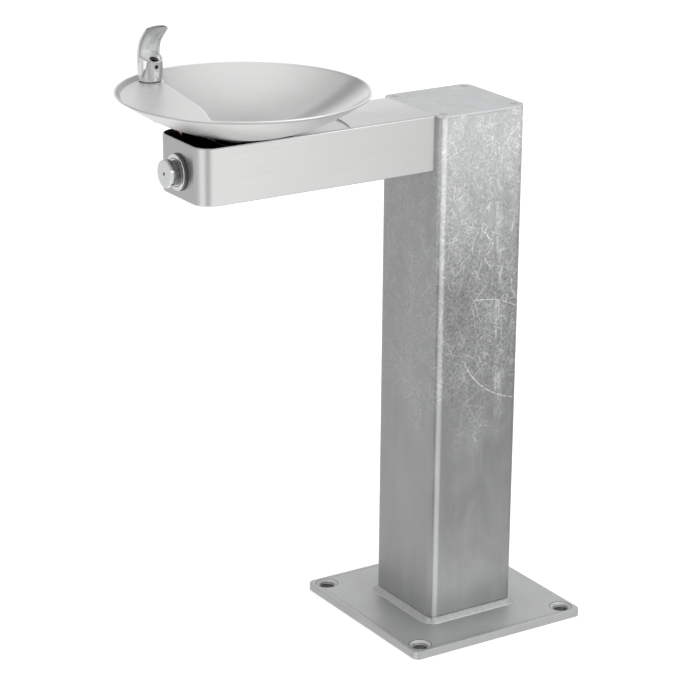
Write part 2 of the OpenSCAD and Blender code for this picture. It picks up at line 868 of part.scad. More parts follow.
// Body with an inlet facing the post on one side and an outlet facing up on the other
module valve_body() {
    start = arm_front + 10.2;
    color("goldenrod") difference() {
        union() {
            on_button_axis(start) cylinder(r = 23, h = 47);
            translate([outlet_x, port_y, button_z]) rotate([0, 90, 0])
                cylinder(r = 7, h = inlet_x - outlet_x);
            translate([outlet_x, port_y, button_z]) sphere(7);
            translate([outlet_x, port_y, button_z]) cylinder(r = 5, h = 18);
            translate([inlet_x, port_y - 8, button_z]) along_y() cylinder(r = 8, h = 28);
        }
        on_button_axis(start - e) cylinder(r = barrel_r + 0.1, h = 6 + e);
        on_button_axis(start) cylinder(r = 15, h = 42);
        on_button_axis(start) cylinder(r = 3.1, h = 50);
        translate([outlet_x, port_y, button_z]) rotate([0, 90, 0])
            cylinder(r = 2.5, h = inlet_x - outlet_x);
        translate([outlet_x, port_y, button_z]) cylinder(r = 2.5, h = 20);
        translate([outlet_x, port_y, button_z + 11]) cylinder(r = tube_r + 0.1, h = 8);
        translate([inlet_x, port_y, button_z]) along_y() cylinder(r = 3.5, h = 24);
    }
}

// Slotted head on the button's axis, reached through the hole in the button
module flow_adjust_screw() {
    color("silver") on_button_axis(arm_front + 44.2) difference() {
        union() {
            cylinder(r = 3, h = 2.2);
            cylinder(r = 2.4, h = 8);
            translate([0, 0, 8]) cylinder(r = 3, h = 7);
            translate([0, 0, 15]) cylinder(r1 = 3, r2 = 1, h = 3);
        }
        translate([-4, -0.5, -e]) cube([8, 1, 1.5]);
    }
}

// ---------- water supply ----------

hose_y0 = port_y + 20.5;                   // hose end at the valve

module hose_run(r) {
    bend_y = supply_y - hose_bend;
    translate([supply_x, hose_y0, button_z]) along_y() cylinder(r = r, h = bend_y - hose_y0);
    translate([supply_x, supply_y, button_z - hose_bend]) mirror([0, 1, 0])
        quarter_bend(r, hose_bend);
    translate([supply_x, supply_y, hose_z0])
        cylinder(r = r, h = button_z - hose_bend - hose_z0);
}

module supply_hose() {
    color("lightslategray") difference() {
        hose_run(hose_r);
        hose_run(hose_r - 2.5);
    }
}

module hose_nuts() {
    color("goldenrod") {
        translate([supply_x, port_y + 20, button_z]) along_y() tube_nut(20, 8, hose_r);
        translate([supply_x, supply_y, hose_z0 - 0.5]) tube_nut(20, 8, hose_r);
    }
}

module line_strainer() {
    z0 = nipple_top + 36;
    color("goldenrod") translate([supply_x, supply_y, z0]) difference() {
        union() {
            cylinder(r = 8, h = 75.5);
            translate([0, 0, 12.5]) hex(30, 14);
            translate([0, 0, 26]) cylinder(r = 14, h = 26);
        }
        translate([0, 0, -e]) cylinder(r = 3.5, h = 80);
        translate([0, 0, 20]) cylinder(r = 10, h = 26);
    }
}

// Ball valve: hexagon ends, round middle, stem boss towards the access cover
module stop_valve_body() {
    low = nipple_top - 14;
    color("goldenrod") translate([supply_x, supply_y, 0]) difference() {
        union() {
            translate([0, 0, low]) hex(28, 62);
            translate([0, 0, nipple_top]) cylinder(r = 15, h = 34);
            translate([0, 0, valve_z]) along_y() cylinder(r = 8, h = 22);
        }
        translate([0, 0, low - e]) cylinder(r = nipple_r + 0.1, h = 14 + e);
        translate([0, 0, low]) cylinder(r = 6, h = 60);
        translate([0, 0, nipple_top + 35.9]) cylinder(r = 8.1, h = 14);
        translate([0, 0, valve_z]) along_y() cylinder(r = 4 + fit, h = 24);
    }
}

// Spindle, ball and lever, turning together about the boss
module stop_valve_lever() {
    color("firebrick") translate([supply_x, supply_y, valve_z]) difference() {
        union() {
            along_y() cylinder(r = 4, h = 26);
            sphere(5.8);
            translate([0, 22.6, 0]) along_y() cylinder(r = 9, h = 3);
            translate([-5, 22.6, 0]) cube([10, 3, 58]);
            translate([0, 22.6, 58]) along_y() cylinder(r = 5, h = 3);
        }
        translate([0, 18, 0]) along_y() cylinder(r = 1.6, h = 10);
    }
}

module lever_screw() {
    color("gray") translate([supply_x, supply_y + 18.5, valve_z]) along_y()
        pan_screw(3.4, 2, 1.5, 7.5);
}

module supply_nipple() {
    color("goldenrod") translate([supply_x, supply_y, 0]) difference() {
        translate([0, 0, floor_gap]) ring(nipple_r, 7.8, nipple_top - floor_gap);
        depth_mark(nipple_r, 0.8);
    }
}

base_plate();
foot_weld();
post();
post_cap();
cap_lugs();
cap_screws();
access_cover();
access_cover_screws();
pipe_bracket();
arm_shell();
arm_bottom_cover();
arm_cover_screws();
arm_flange();
arm_bolts();
arm_nuts();
arm_backing_bars();
bowl_bracket();
bowl();
bowl_studs();
bowl_nuts();
bubbler_shelf();
drain_fitting();
drain_grid();
grid_screw();
drain_gasket();
drain_locknut();
slip_nuts();
drain_elbow_front();
drain_tube();
drain_elbow_rear();
waste_pipe();
bubbler_gasket();
bubbler_body();
bubbler_nozzle();
nozzle_screw();
bubbler_wedge_washer();
bubbler_locknut();
bubbler_elbow();
bubbler_tube();
tube_nuts();
button_gasket();
button_flange();
push_button();
valve_stem();
stem_seal();
button_spring();
valve_cartridge();
valve_locknut();
valve_body();
flow_adjust_screw();
supply_hose();
hose_nuts();
line_strainer();
stop_valve_body();
stop_valve_lever();
lever_screw();
supply_nipple();
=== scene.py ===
import json
import math

import bmesh
import bpy
from mathutils import Matrix, Vector, noise


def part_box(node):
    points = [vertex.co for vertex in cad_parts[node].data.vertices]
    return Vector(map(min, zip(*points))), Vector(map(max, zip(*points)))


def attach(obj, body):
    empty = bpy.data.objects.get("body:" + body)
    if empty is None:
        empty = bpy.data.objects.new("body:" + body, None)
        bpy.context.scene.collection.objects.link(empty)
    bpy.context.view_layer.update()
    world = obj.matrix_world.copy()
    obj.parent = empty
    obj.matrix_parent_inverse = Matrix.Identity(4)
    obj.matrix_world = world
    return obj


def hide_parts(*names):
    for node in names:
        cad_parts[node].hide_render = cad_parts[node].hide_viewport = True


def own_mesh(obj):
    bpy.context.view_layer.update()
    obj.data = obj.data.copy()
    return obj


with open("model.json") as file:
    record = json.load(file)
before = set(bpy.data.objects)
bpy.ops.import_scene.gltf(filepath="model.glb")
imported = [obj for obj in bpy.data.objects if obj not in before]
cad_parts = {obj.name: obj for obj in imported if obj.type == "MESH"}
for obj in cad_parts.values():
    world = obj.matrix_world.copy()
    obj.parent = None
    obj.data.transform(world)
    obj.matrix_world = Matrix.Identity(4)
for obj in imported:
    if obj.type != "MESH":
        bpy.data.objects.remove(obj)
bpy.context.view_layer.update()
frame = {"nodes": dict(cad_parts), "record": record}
NODES = frame["nodes"]
BODIES = frame["record"]["behaviour"]["bodies"]
SLOTS = {row["node"]: row["material_slot"] for row in frame["record"]["subparts"]}
MM = 0.001


# ---------- places read from the frame ----------

def centre(node):
    """Middle of a CAD node's box."""
    low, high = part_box(node)
    return (low + high) / 2


PLATE_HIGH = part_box("base_plate")[1]
POST_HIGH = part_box("post")[1]
ARM_LOW, ARM_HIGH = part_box("arm_shell")
BOWL_LOW, BOWL_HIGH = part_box("bowl")
SHELF_LOW, SHELF_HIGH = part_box("bubbler_shelf")
BOWL_MID = centre("bowl")
BUBBLER_MID = centre("bubbler_gasket")
BUTTON_MID = centre("push_button")
BUTTON_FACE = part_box("push_button")[0].y
FLANGE_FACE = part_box("button_flange")[0].y
CAP_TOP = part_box("post_cap")[1].z

# ---------- sizes shared by shapes and materials ----------

POST_CORNER = 14 * MM
NOSE_RADIUS = 25.4 * MM
ANCHOR_OFFSET = 130.175 * MM
WHITE = (1.0, 1.0, 1.0)
ZINC = (0.985, 1.0, 0.995)
STEEL = (1.0, 0.995, 0.985)
BOWL_STEEL = (1.0, 0.997, 0.99)
BUTTON_RADIUS = 19.7 * MM
FLANGE_BORE = 17.2 * MM

# The dish is pressed from 1.5 mm sheet; both its surfaces are parts of spheres.
DISH_INNER = 288.5 * MM
DISH_OUTER = 290 * MM
DISH_CENTRE = BOWL_HIGH.z - 63 * MM + DISH_OUTER

# The shelf's edge crosses the bowl this way round, with an S-shaped step along it.
SHELF_TURN = math.radians(-100)
SHELF_EDGE = 80 * MM
SHELF_STEP = 11 * MM
STEP_FROM = 45 * MM
STEP_TO = 135 * MM

# The bubbler is built in millimetres about its own axis, and then turned and moved.
BUBBLER_DEGREES = math.radians(10)
BUBBLER_TURN = Matrix.Rotation(BUBBLER_DEGREES, 3, "Z")
FACE_TILT = math.radians(21)
GRUB_TURN = Matrix.Rotation(math.radians(-12), 3, "Z")
GRUB_DROP = -5.7
CUP_RADIUS = 18.2


def place_bubbler(points):
    """From the bubbler's own frame, in millimetres, to metres in the shared frame."""
    base = Vector((BUBBLER_MID.x, BUBBLER_MID.y, SHELF_HIGH.z))
    return [base + BUBBLER_TURN @ Vector(p) * MM for p in points]


def outlet_frame(points):
    """From a frame on the sloping outlet face, +Z square to it, to the bubbler's frame."""
    turn = Matrix.Rotation(FACE_TILT, 3, "Y")
    middle = Vector((9.5, 0, 29 + 8.8 * math.tan(FACE_TILT)))
    return [middle + turn @ Vector(p) for p in points]


# ---------- shader helper ----------

class Value:
    """A number worked out by nodes; + - * and abs() on it add the node for that sum."""

    def __init__(self, graph, socket):
        self.graph = graph
        self.socket = socket

    def __add__(self, other):
        return self.graph.math("ADD", self, other)

    def __mul__(self, other):
        return self.graph.math("MULTIPLY", self, other)

    def __sub__(self, other):
        return self.graph.math("SUBTRACT", self, other)

    def __rsub__(self, other):
        return self.graph.math("SUBTRACT", other, self)

    def __abs__(self):
        return self.graph.math("ABSOLUTE", self)

    __radd__ = __add__
    __rmul__ = __mul__


class Graph:
    """A node tree, built up one node at a time."""

    def __init__(self, tree):
        self.tree = tree

    def node(self, kind, *values, **settings):
        """Adds a node, sets its properties and fills its first sockets in order."""
        made = self.tree.nodes.new(kind)
        for key, value in settings.items():
            setattr(made, key, value)
        for socket, value in zip(made.inputs, values):
            self.plug(socket, value)
        return made

    def plug(self, socket, value):
        """Links an output to a socket, or stores a plain value there."""
        if isinstance(value, Value):
            value = value.socket
        if isinstance(value, bpy.types.NodeSocket):
            self.tree.links.new(value, socket)
        else:
            socket.default_value = value

    def parts(self, vector):
        """The three numbers of a vector."""
        return [Value(self, out) for out in self.node("ShaderNodeSeparateXYZ", vector).outputs]

    def math(self, how, a, b=0.0):
        return Value(self, self.node("ShaderNodeMath", a, b, operation=how).outputs[0])

    def most(self, a, b):
        return self.math("MAXIMUM", a, b)

    def least(self, a, b):
        return self.math("MINIMUM", a, b)

    def hypot(self, a, b):
        return self.math("SQRT", a * a + b * b)

    def line(self, value, a, b, low=0.0, high=1.0, shape="LINEAR"):
        """Straight change: low where value is a, high where it is b."""
        made = self.node("ShaderNodeMapRange", value, a, b, low, high, interpolation_type=shape)
        return Value(self, made.outputs[0])

    def ramp(self, value, a, b):
        """Smooth step: 0 where value is a, 1 where it is b."""
        return self.line(value, a, b, shape="SMOOTHSTEP")

    def between(self, value, low, high, soft):
        """1 while value lies between low and high, fading over 'soft' at both ends."""
        return self.ramp(value, low - soft, low + soft) * self.ramp(value, high + soft, high - soft)

    def fade(self, mask, tone):
        """1 where the mask is 0, and 'tone' where it is 1."""
        return self.line(mask, 0.0, 1.0, 1.0, tone)


class Shader(Graph):
    """A material. Coordinates are metres in the frame."""

    def __init__(self, name):
        self.mat = bpy.data.materials.new(name)
        self.mat.use_nodes = True
        super().__init__(self.mat.node_tree)
        self.surface = self.tree.nodes["Principled BSDF"]
        source = self.node("ShaderNodeTexCoord")
        self.place = source.outputs["Object"]
        self.x, self.y, self.z = self.parts(self.place)
        self.nx, self.ny, self.nz = self.parts(source.outputs["Normal"])

    def vector(self, how, *values):
        return self.node("ShaderNodeVectorMath", *values, operation=how).outputs

    def dot(self, a, b):
        return Value(self, self.vector("DOT_PRODUCT", a, b)["Value"])

    def texture(self, kind, vector, **inputs):
        """Outputs of a texture at a point given in cells."""
        made = self.node(kind)
        inputs.update(Vector=vector, Scale=1.0)
        for name, value in inputs.items():
            self.plug(made.inputs[name], value)
        return made.outputs

    def in_cells(self, scale):
        """The coordinates in cells; scale is one number, or one for each axis, a metre."""
        if not isinstance(scale, tuple):
            scale = (scale, scale, scale)
        return self.vector("MULTIPLY", self.place, scale)[0]

    def noise_at(self, vector, detail, rough=0.5, warp=0.0):
        """Soft noise at a point given in cells."""
        made = self.texture("ShaderNodeTexNoise", vector, Detail=detail, Roughness=rough, Distortion=warp)
        return Value(self, made[0])

    def noise(self, scale, detail=3.0, rough=0.5, warp=0.0):
        """Soft noise; scale is one number, or one for each axis, in cells a metre."""
        return self.noise_at(self.in_cells(scale), detail, rough, warp)

    def noise_in(self, x, y, z, detail):
        """Soft noise over three numbers of its own."""
        return self.noise_at(self.node("ShaderNodeCombineXYZ", x, y, z).outputs[0], detail)

    def cells(self, scale):
        """Voronoi cells: (distance, a random grey for each cell)."""
        made = self.texture("ShaderNodeTexVoronoi", self.in_cells(scale))
        grey = self.node("ShaderNodeSeparateColor", made["Color"]).outputs[0]
        return Value(self, made["Distance"]), Value(self, grey)

    def tint(self, value, colour):
        """The colour, three numbers or a socket, times the grey value."""
        made = self.node("ShaderNodeVectorMath", colour, operation="SCALE")
        self.plug(made.inputs["Scale"], value)
        return made.outputs[0]

    def bump(self, height, depth, strength=1.0):
        """Adds relief; depth is the height in metres of a full step of the input."""
        made = self.node("ShaderNodeBump")
        made.inputs["Strength"].default_value = strength
        made.inputs["Distance"].default_value = depth
        self.plug(made.inputs["Height"], height)
        last = self.surface.inputs["Normal"]
        if last.links:
            self.plug(made.inputs["Normal"], last.links[0].from_socket)
        self.plug(last, made.outputs[0])

    def edges(self, size=0.0008):
        """About 1 on a convex edge and 0 elsewhere, for wear and for painted highlights along edges."""
        made = self.node("ShaderNodeBevel", samples=4)
        made.inputs["Radius"].default_value = size
        flat = self.node("ShaderNodeNewGeometry").outputs["Normal"]
        return self.ramp(self.dot(made.outputs[0], flat), 0.995, 0.9)

    def shade_inside_arm(self):
        """Mask for painted shade: 1 within the hollow arm, a little below its open top, and 0 elsewhere.
        """
        out = self.most(abs(self.x) + (NOSE_RADIUS - ARM_HIGH.x), 0.0)
        ahead = self.most(ARM_LOW.y + NOSE_RADIUS - self.y, 0.0)
        within = self.math("LESS_THAN", self.hypot(out, ahead), NOSE_RADIUS - 0.001)
        back = self.math("LESS_THAN", self.y, ARM_HIGH.y)
        low = self.math("GREATER_THAN", self.z, ARM_LOW.z + 0.012)
        return within * back * low * self.ramp(self.z, ARM_HIGH.z - 0.003, ARM_HIGH.z - 0.009)

    def pit(self, place, axis, radius, depth):
        """1 inside a round hole whose axis leaves at 'place', once deeper than 'depth'."""
        away = self.vector("SUBTRACT", self.place, tuple(place))[0]
        height = self.dot(away, tuple(axis))
        inside = self.math("LESS_THAN", self.dot(away, away) - height * height, radius * radius)
        return inside * self.math("LESS_THAN", height, -depth)

    def finish(self, colour, rough, metal=1.0, **more):
        """Fills the surface in, with painted shade inside the arm, and gives the material."""
        more.update(Base_Color=self.tint(self.fade(self.shade_inside_arm(), 0.10), colour),
                    Roughness=rough, Metallic=metal)
        for name, value in more.items():
            self.plug(self.surface.inputs[name.replace("_", " ")], value)
        return self.mat


# ---------- materials ----------

def arc_scratch(m, y0, z0, radius, width):
    """A thin line along a circle in the YZ plane."""
    return m.ramp(abs(m.hypot(m.y - y0, m.z - z0) - radius), width, width * 0.3)


def post_scratches(m):
    """The few long scratches on the post's right-hand face."""
    right = m.ramp(m.nx, 0.7, 0.95)
    long_arc = arc_scratch(m, -0.0096, 0.3564, 0.1588, 0.0007)
    long_arc *= m.between(m.y, -0.008, 0.066, 0.004) * m.ramp(m.z, 0.44, 0.46)
    sweep = arc_scratch(m, 0.0929, 0.4814, 0.1325, 0.0008)
    sweep *= m.between(m.y, -0.022, 0.074, 0.004) * m.ramp(m.z, 0.44, 0.42)
    hook = arc_scratch(m, 0.082, 0.532, 0.025, 0.0006)
    hook *= m.between(m.z, 0.520, 0.553, 0.004) * m.ramp(m.y, 0.071, 0.066)
    wander = m.math("SINE", m.z * 150.0) * 0.007
    jitter = (m.noise(90.0, 2.0) - 0.5) * 0.010
    squiggle = m.ramp(abs(m.y - (0.015 + wander + jitter)), 0.0008, 0.0002)
    squiggle *= m.between(m.z, 0.562, 0.628, 0.004)
    diagonal = m.ramp(abs(m.z - (0.763 + m.y * 0.42)), 0.0007, 0.0002)
    diagonal *= m.between(m.y, -0.064, -0.028, 0.003)
    broken = m.ramp(m.noise(260.0, 2.0), 0.36, 0.50)
    every = long_arc + sweep + hook + squiggle + diagonal * 0.7
    return m.least(every, 1.0) * broken * right


def fine_scratches(m, density, seed, short, count):
    """A web of hair scratches in several directions; 'short' is how often they break."""
    total = None
    level = m.x + m.y
    for k in range(count):
        angle = seed + k * math.pi / count
        across = level * math.cos(angle) + m.z * math.sin(angle)
        along = level * -math.sin(angle) + m.z * math.cos(angle)
        grain = m.noise_in(across * 380.0, along * short, k * 7.3 + seed, 2.0)
        hit = m.ramp(grain, density, density + 0.08)
        total = hit if total is None else m.most(total, hit)
    return total


def galvanised():
    """Dipped tube: spangled and rubbed near the top, smooth and matt towards the foot; painted light
    makes the right-hand face lighter near the top and darker lower down.
    """
    m = Shader("galvanised")
    cell, grey = m.cells((95.0, 95.0, 80.0))
    fine = m.noise(260.0, 4.0, 0.7)
    cloud = m.noise((17.0, 17.0, 9.0), 4.0, 0.6, 0.6)
    streak = m.noise((48.0, 48.0, 2.2), 3.0, 0.6)
    right = m.ramp(m.nx, 0.3, 0.9)
    front = m.ramp(m.ny, -0.3, -0.9)
    wave = (cloud - 0.5) * 0.3
    upper = m.ramp(m.z + wave, 0.27, 0.4)
    top = m.ramp(m.z, 0.6, 0.8)
    rubbed = upper * (0.55 + right * 0.45)
    # Painted light on the right-hand face: lighter near the top, darker lower down, and a little lighter
    # again just above the foot.
    right_face_light = -0.175 + m.line(m.z, 0.53, 0.78) * 0.27 + m.ramp(m.z, 0.22, 0.05) * 0.095
    base = 0.432 + right * right_face_light + m.ramp(m.z, 0.05, 0.0) * 0.05
    base += (cloud - 0.5) * (0.1 + right * 0.08)
    base += rubbed * (grey - 0.5) * 0.035
    base += rubbed * (fine - 0.5) * 0.5
    base += (streak - 0.5) * 0.07
    band = abs(m.y - (0.046 - m.z * 0.022))
    wipe = m.ramp(band, 0.009, 0.004) * m.ramp(m.noise((20.0, 160.0, 40.0), 5.0, 0.75), 0.46, 0.6)
    wipe *= m.between(m.z, 0.33, 0.7, 0.03) * right
    blotch = m.ramp(m.noise((170.0, 170.0, 110.0), 5.0, 0.75) + top * 0.05, 0.57, 0.7)
    blotch *= m.ramp(cloud, 0.42, 0.58) * top * right
    hair = fine_scratches(m, 0.62, 0.5, 34.0, 5) * m.ramp(cloud, 0.3, 0.62) * rubbed
    specks = m.ramp(m.noise(330.0, 3.0, 0.7), 0.62, 0.72) * rubbed
    marks = wipe * 0.16 + blotch * 0.34 + hair * 0.2 + specks * 0.12
    # Painted highlight along the post's rounded front corner, and painted shade on the corner's shoulder
    # beside it.
    corner = m.between(m.nx, 0.8, 0.99, 0.07) * m.ramp(m.ny, -0.03, -0.16)
    shoulder_shade = m.between(m.nx, 0.3, 0.72, 0.1) * m.ramp(m.ny, -0.3, -0.6)
    # Painted light on the front face's strip beside the arm.
    beside_arm_light = m.ramp(m.nx, 0.62, 0.1) * front * m.ramp(m.z, POST_HIGH.z - 0.078, POST_HIGH.z - 0.072)
    marks += beside_arm_light * 0.13
    # Painted shade: a thin dark line in the gap under the cap's edge. A thin dark line also runs just
    # above the weld bead.
    foot = PLATE_HIGH.z
    gap = m.between(m.z, foot + 0.0066, foot + 0.0092, 0.0004)
    gap += m.ramp(m.z, POST_HIGH.z - 0.0016, POST_HIGH.z - 0.0008)
    marks = marks - gap * 0.12
    marks = marks + post_scratches(m) * 0.42 + corner * 0.3 - shoulder_shade * 0.07
    # marks now holds the real marks and scratches together with the painted highlight, light and shade
    # above.
    colour = m.tint(m.most(base + marks, 0.12), ZINC)
    rough = 0.42 - rubbed * 0.05 + fine * 0.08 + marks * 0.35
    m.bump(fine * 0.5 + cell * 0.5, 0.00006)
    m.bump(m.noise(22.0, 2.0), 0.0006, 0.5)
    return m.finish(colour, rough, 0.92)


def plate_zinc():
    """Thick plate, dipped: matt and even, with a painted highlight along its edges."""
    m = Shader("plate_zinc")
    cloud = m.noise(13.0, 4.0, 0.55, 0.4)
    fine = m.noise(240.0, 3.0, 0.6)
    cell, grey = m.cells(120.0)
    base = 0.56 + (cloud - 0.5) * 0.13
    base += (fine - 0.5) * 0.07
    base += (grey - 0.5) * 0.012
    # Painted shade on the plate round the post's foot.
    near = m.most(abs(m.x), abs(m.y))
    base = base - m.ramp(near, 0.118, 0.088) * 0.03
    base += m.edges(0.001) * 0.1
    # Painted shade down the bolt holes' walls, and painted rings round each countersink: a dark outline,
    # a lighter band on the cone and a dark ring at the hole's mouth.
    away = m.hypot(abs(m.x) - ANCHOR_OFFSET, abs(m.y) - ANCHOR_OFFSET)
    sunk = m.ramp(away, 0.0104, 0.0098) * m.ramp(m.z, 0.008, 0.007)
    base *= m.fade(sunk, 0.22)
    for radius, wide, tone in ((0.0168, 0.0009, 0.45), (0.0154, 0.0008, 1.25), (0.011, 0.0009, 0.4)):
        ring = m.ramp(abs(away - radius), wide * 1.3, wide * 0.6)
        base *= m.fade(ring, tone)
    # Painted shade on the plate's right-hand side faces.
    base *= m.fade(m.ramp(m.nx, 0.7, 0.95), 0.76)
    m.bump(fine * 0.6 + cell * 0.4, 0.00008)
    m.bump(m.noise(30.0, 2.0), 0.0005, 0.3)
    return m.finish(m.tint(base, ZINC), 0.46 + fine * 0.1, 0.85)


def weld_zinc():
    """Galvanised weld metal: lumpy, with small craters."""
    m = Shader("weld_zinc")
    lump = m.noise(170.0, 4.0, 0.6)
    pit, _ = m.cells(210.0)
    crater = m.ramp(pit, 0.3, 0.1)
    base = 0.47 + (lump - 0.5) * 0.16 - crater * 0.04
    base += m.edges(0.0014) * 0.22
    m.bump(lump - crater * 0.5, 0.0003)
    return m.finish(m.tint(base, ZINC), 0.4 + lump * 0.15, 0.88)


def cap_zinc():
    """Thin galvanised sheet: faint clouds and tiny flecks."""
    m = Shader("cap_zinc")
    cloud = m.noise(34.0, 5.0, 0.65, 0.5)
    fleck = m.ramp(m.noise(520.0, 2.0), 0.6, 0.72)
    cell, grey = m.cells(150.0)
    base = 0.6 + (cloud - 0.5) * 0.22 + fleck * 0.08
    base = base + (grey - 0.5) * 0.03 + m.edges() * 0.1
    m.bump(cloud + cell * 0.3, 0.00007)
    return m.finish(m.tint(base, (0.97, 0.99, 1.0)), 0.38 + cloud * 0.1, 0.9)


def satin_steel():
    """Stainless sheet brushed along the arm."""
    m = Shader("satin_steel")
    grain = m.noise((900.0, 16.0, 900.0), 4.0, 0.7)
    coarse = m.noise((300.0, 7.0, 300.0), 2.0, 0.5)
    cloud = m.noise(9.0, 3.0, 0.5)
    lines = grain * 0.6 + coarse * 0.4
    # Painted light: lighter towards the arm's front and on its upward faces.
    base = 0.618 - m.line(m.y, -0.4, -0.1) * 0.1 + m.ramp(m.nz, 0.8, 0.95) * 0.1
    base += (lines - 0.5) * 0.13
    base += (cloud - 0.5) * 0.03
    scuff = m.ramp(m.noise((60.0, 30.0, 120.0), 4.0, 0.7), 0.66, 0.74)
    base = base + scuff * 0.05 + m.edges() * 0.12
    rough = 0.25 + lines * 0.1 + scuff * 0.06
    m.bump(lines, 0.00003)
    return m.finish(m.tint(base, (1.0, 0.992, 0.985)), rough, 1.0, Anisotropic=0.35)


def bowl_satin():
    """Stainless dish polished in rings, softly satin, with painted highlights, reflections, light and
    shade.
    """
    m = Shader("bowl_satin")
    dx = m.x - BOWL_MID.x
    dy = m.y - BOWL_MID.y
    away = m.hypot(dx, dy)
    turn = m.math("ARCTAN2", dy, dx)
    rings = m.noise_in(away * 1500.0, turn * 7.0, m.z * 60.0, 3.0)
    cloud = m.noise(11.0, 3.0, 0.5)
    speck = m.ramp(m.noise(420.0, 2.0), 0.66, 0.74)
    base = 0.66 + (rings - 0.5) * 0.1
    base = base + (cloud - 0.5) * 0.05 - speck * 0.03
    rim = BOWL_HIGH.x - BOWL_MID.x
    up = m.ramp(m.nz, 0.3, 0.6)
    near = m.ramp(dx * 0.84 - dy * 0.54, -0.05, 0.03) * up
    # Painted highlight along the top of the rolled rim, and a painted shade line just inside the rim on
    # the near side.
    base += m.between(away, rim - 0.0031, rim, 0.0004) * m.ramp(m.nz, 0.2, 0.5) * 0.26
    base = base - m.between(away, rim - 0.0058, rim - 0.0038, 0.0005) * near * 0.13
    # Painted shade on the underside just below the rolled rim.
    lip_shade = m.ramp(away, rim - 0.005, rim - 0.004) * m.ramp(m.nz, 0.0, -0.3)
    base = base - lip_shade * 0.22
    # Painted reflections: a dark band and a pale band across the dish's inside. Painted shade beside the
    # shelf's edge and on the dish's floor near its middle.
    inside = up * m.ramp(away, 0.03, 0.13)
    dark_reflection_band = m.ramp(abs(turn - 1.41), 0.24, 0.02)
    pale_reflection_band = m.ramp(abs(turn - 1.02), 0.2, 0.02)
    shelf_edge_shade = m.ramp(past_shelf_edge(m), -0.026, 0.0) * up
    base = base - dark_reflection_band * inside * 0.24 + pale_reflection_band * inside * 0.2 - shelf_edge_shade * 0.17
    base = base - m.ramp(m.nz, 0.955, 0.985) * m.ramp(away, 0.1, 0.04) * 0.07
    # Painted light: the underside is lighter.
    under = m.ramp(m.nz, -0.2, -0.5)
    base += under * 0.06
    m.bump(rings, 0.00002)
    rough = 0.25 + rings * 0.08 + cloud * 0.05 + under * 0.12
    return m.finish(m.tint(base, BOWL_STEEL), rough, 1.0, Anisotropic=0.25)


def turned(m, middle, angle):
    """The two plan coordinates about a middle, on axes turned by the angle."""
    dx = m.x - middle.x
    dy = m.y - middle.y
    return (dx * math.cos(angle) + dy * math.sin(angle), dy * math.cos(angle) - dx * math.sin(angle))


def past_shelf_edge(m):
    """Distance from the shelf's curved edge, positive over the shelf."""
    across, along = turned(m, BOWL_MID, SHELF_TURN)
    return across - SHELF_EDGE - m.ramp(along, STEP_FROM, STEP_TO) * SHELF_STEP


def shelf_satin():
    """The shelf's stainless: softly brushed, with a painted highlight along its curved edge and painted
    shade on its steep faces.
    """
    m = Shader("shelf_satin")
    brushed = m.noise((260.0, 30.0, 60.0), 3.0, 0.6)
    cloud = m.noise(24.0, 4.0, 0.6)
    past = past_shelf_edge(m)
    base = 0.755 + (brushed - 0.5) * 0.08
    base += (cloud - 0.5) * 0.08
    # Painted highlight along the top of the shelf's curved edge.
    base += m.between(past, 0.0002, 0.0017, 0.0004) * 0.3
    # Painted shade on the shelf's steep faces.
    base *= m.fade(m.ramp(m.nz, 0.55, 0.25), 0.62)
    m.bump(brushed, 0.00002)
    rough = 0.36 + brushed * 0.08 + cloud * 0.05
    return m.finish(m.tint(base, BOWL_STEEL), rough, 1.0)


def bubbler_holes(m):
    """Mask of the shade inside the bubbler's outlet and inside the screw hole below it."""
    middle, above = place_bubbler(outlet_frame([(0, 0, 0), (0, 0, 1)]))
    outlet = m.pit(middle, (above - middle).normalized(), 6.4 * MM, 0.9 * MM)
    line = [GRUB_TURN @ Vector((ahead, 0, GRUB_DROP)) for ahead in (0, 1)]
    start, ahead = place_bubbler(outlet_frame(line))
    along = (ahead - start).normalized()
    mouth = start + along * 10.9 * MM
    return m.most(outlet, m.pit(mouth, along, 2.5 * MM, 0.0))


def button_lines(m):
    """Mask of the shade on the button's neck and along both edges of its flange."""
    away = m.hypot(m.x - BUTTON_MID.x, m.z - BUTTON_MID.z)
    outside = m.ramp(m.y, ARM_LOW.y + 0.002, ARM_LOW.y + 0.001)
    depth = m.y - BUTTON_FACE
    neck = m.ramp(depth, 0.0082, 0.0092) * m.ramp(away, 0.0178, 0.0174)
    cap_side = m.between(depth, 0.0045, 0.0088, 0.0008) * m.ramp(away, 0.019, 0.0195) * 0.75
    flange = m.ramp(m.y, FLANGE_FACE - 0.002, FLANGE_FACE - 0.001)
    edges = m.between(away, 0.0192, 0.0205, 0.0003) + m.ramp(away, 0.025, 0.0257)
    lines = neck + cap_side * m.ramp(away, 0.0201, 0.0199) + edges * flange
    return m.least(lines, 1.0) * outside


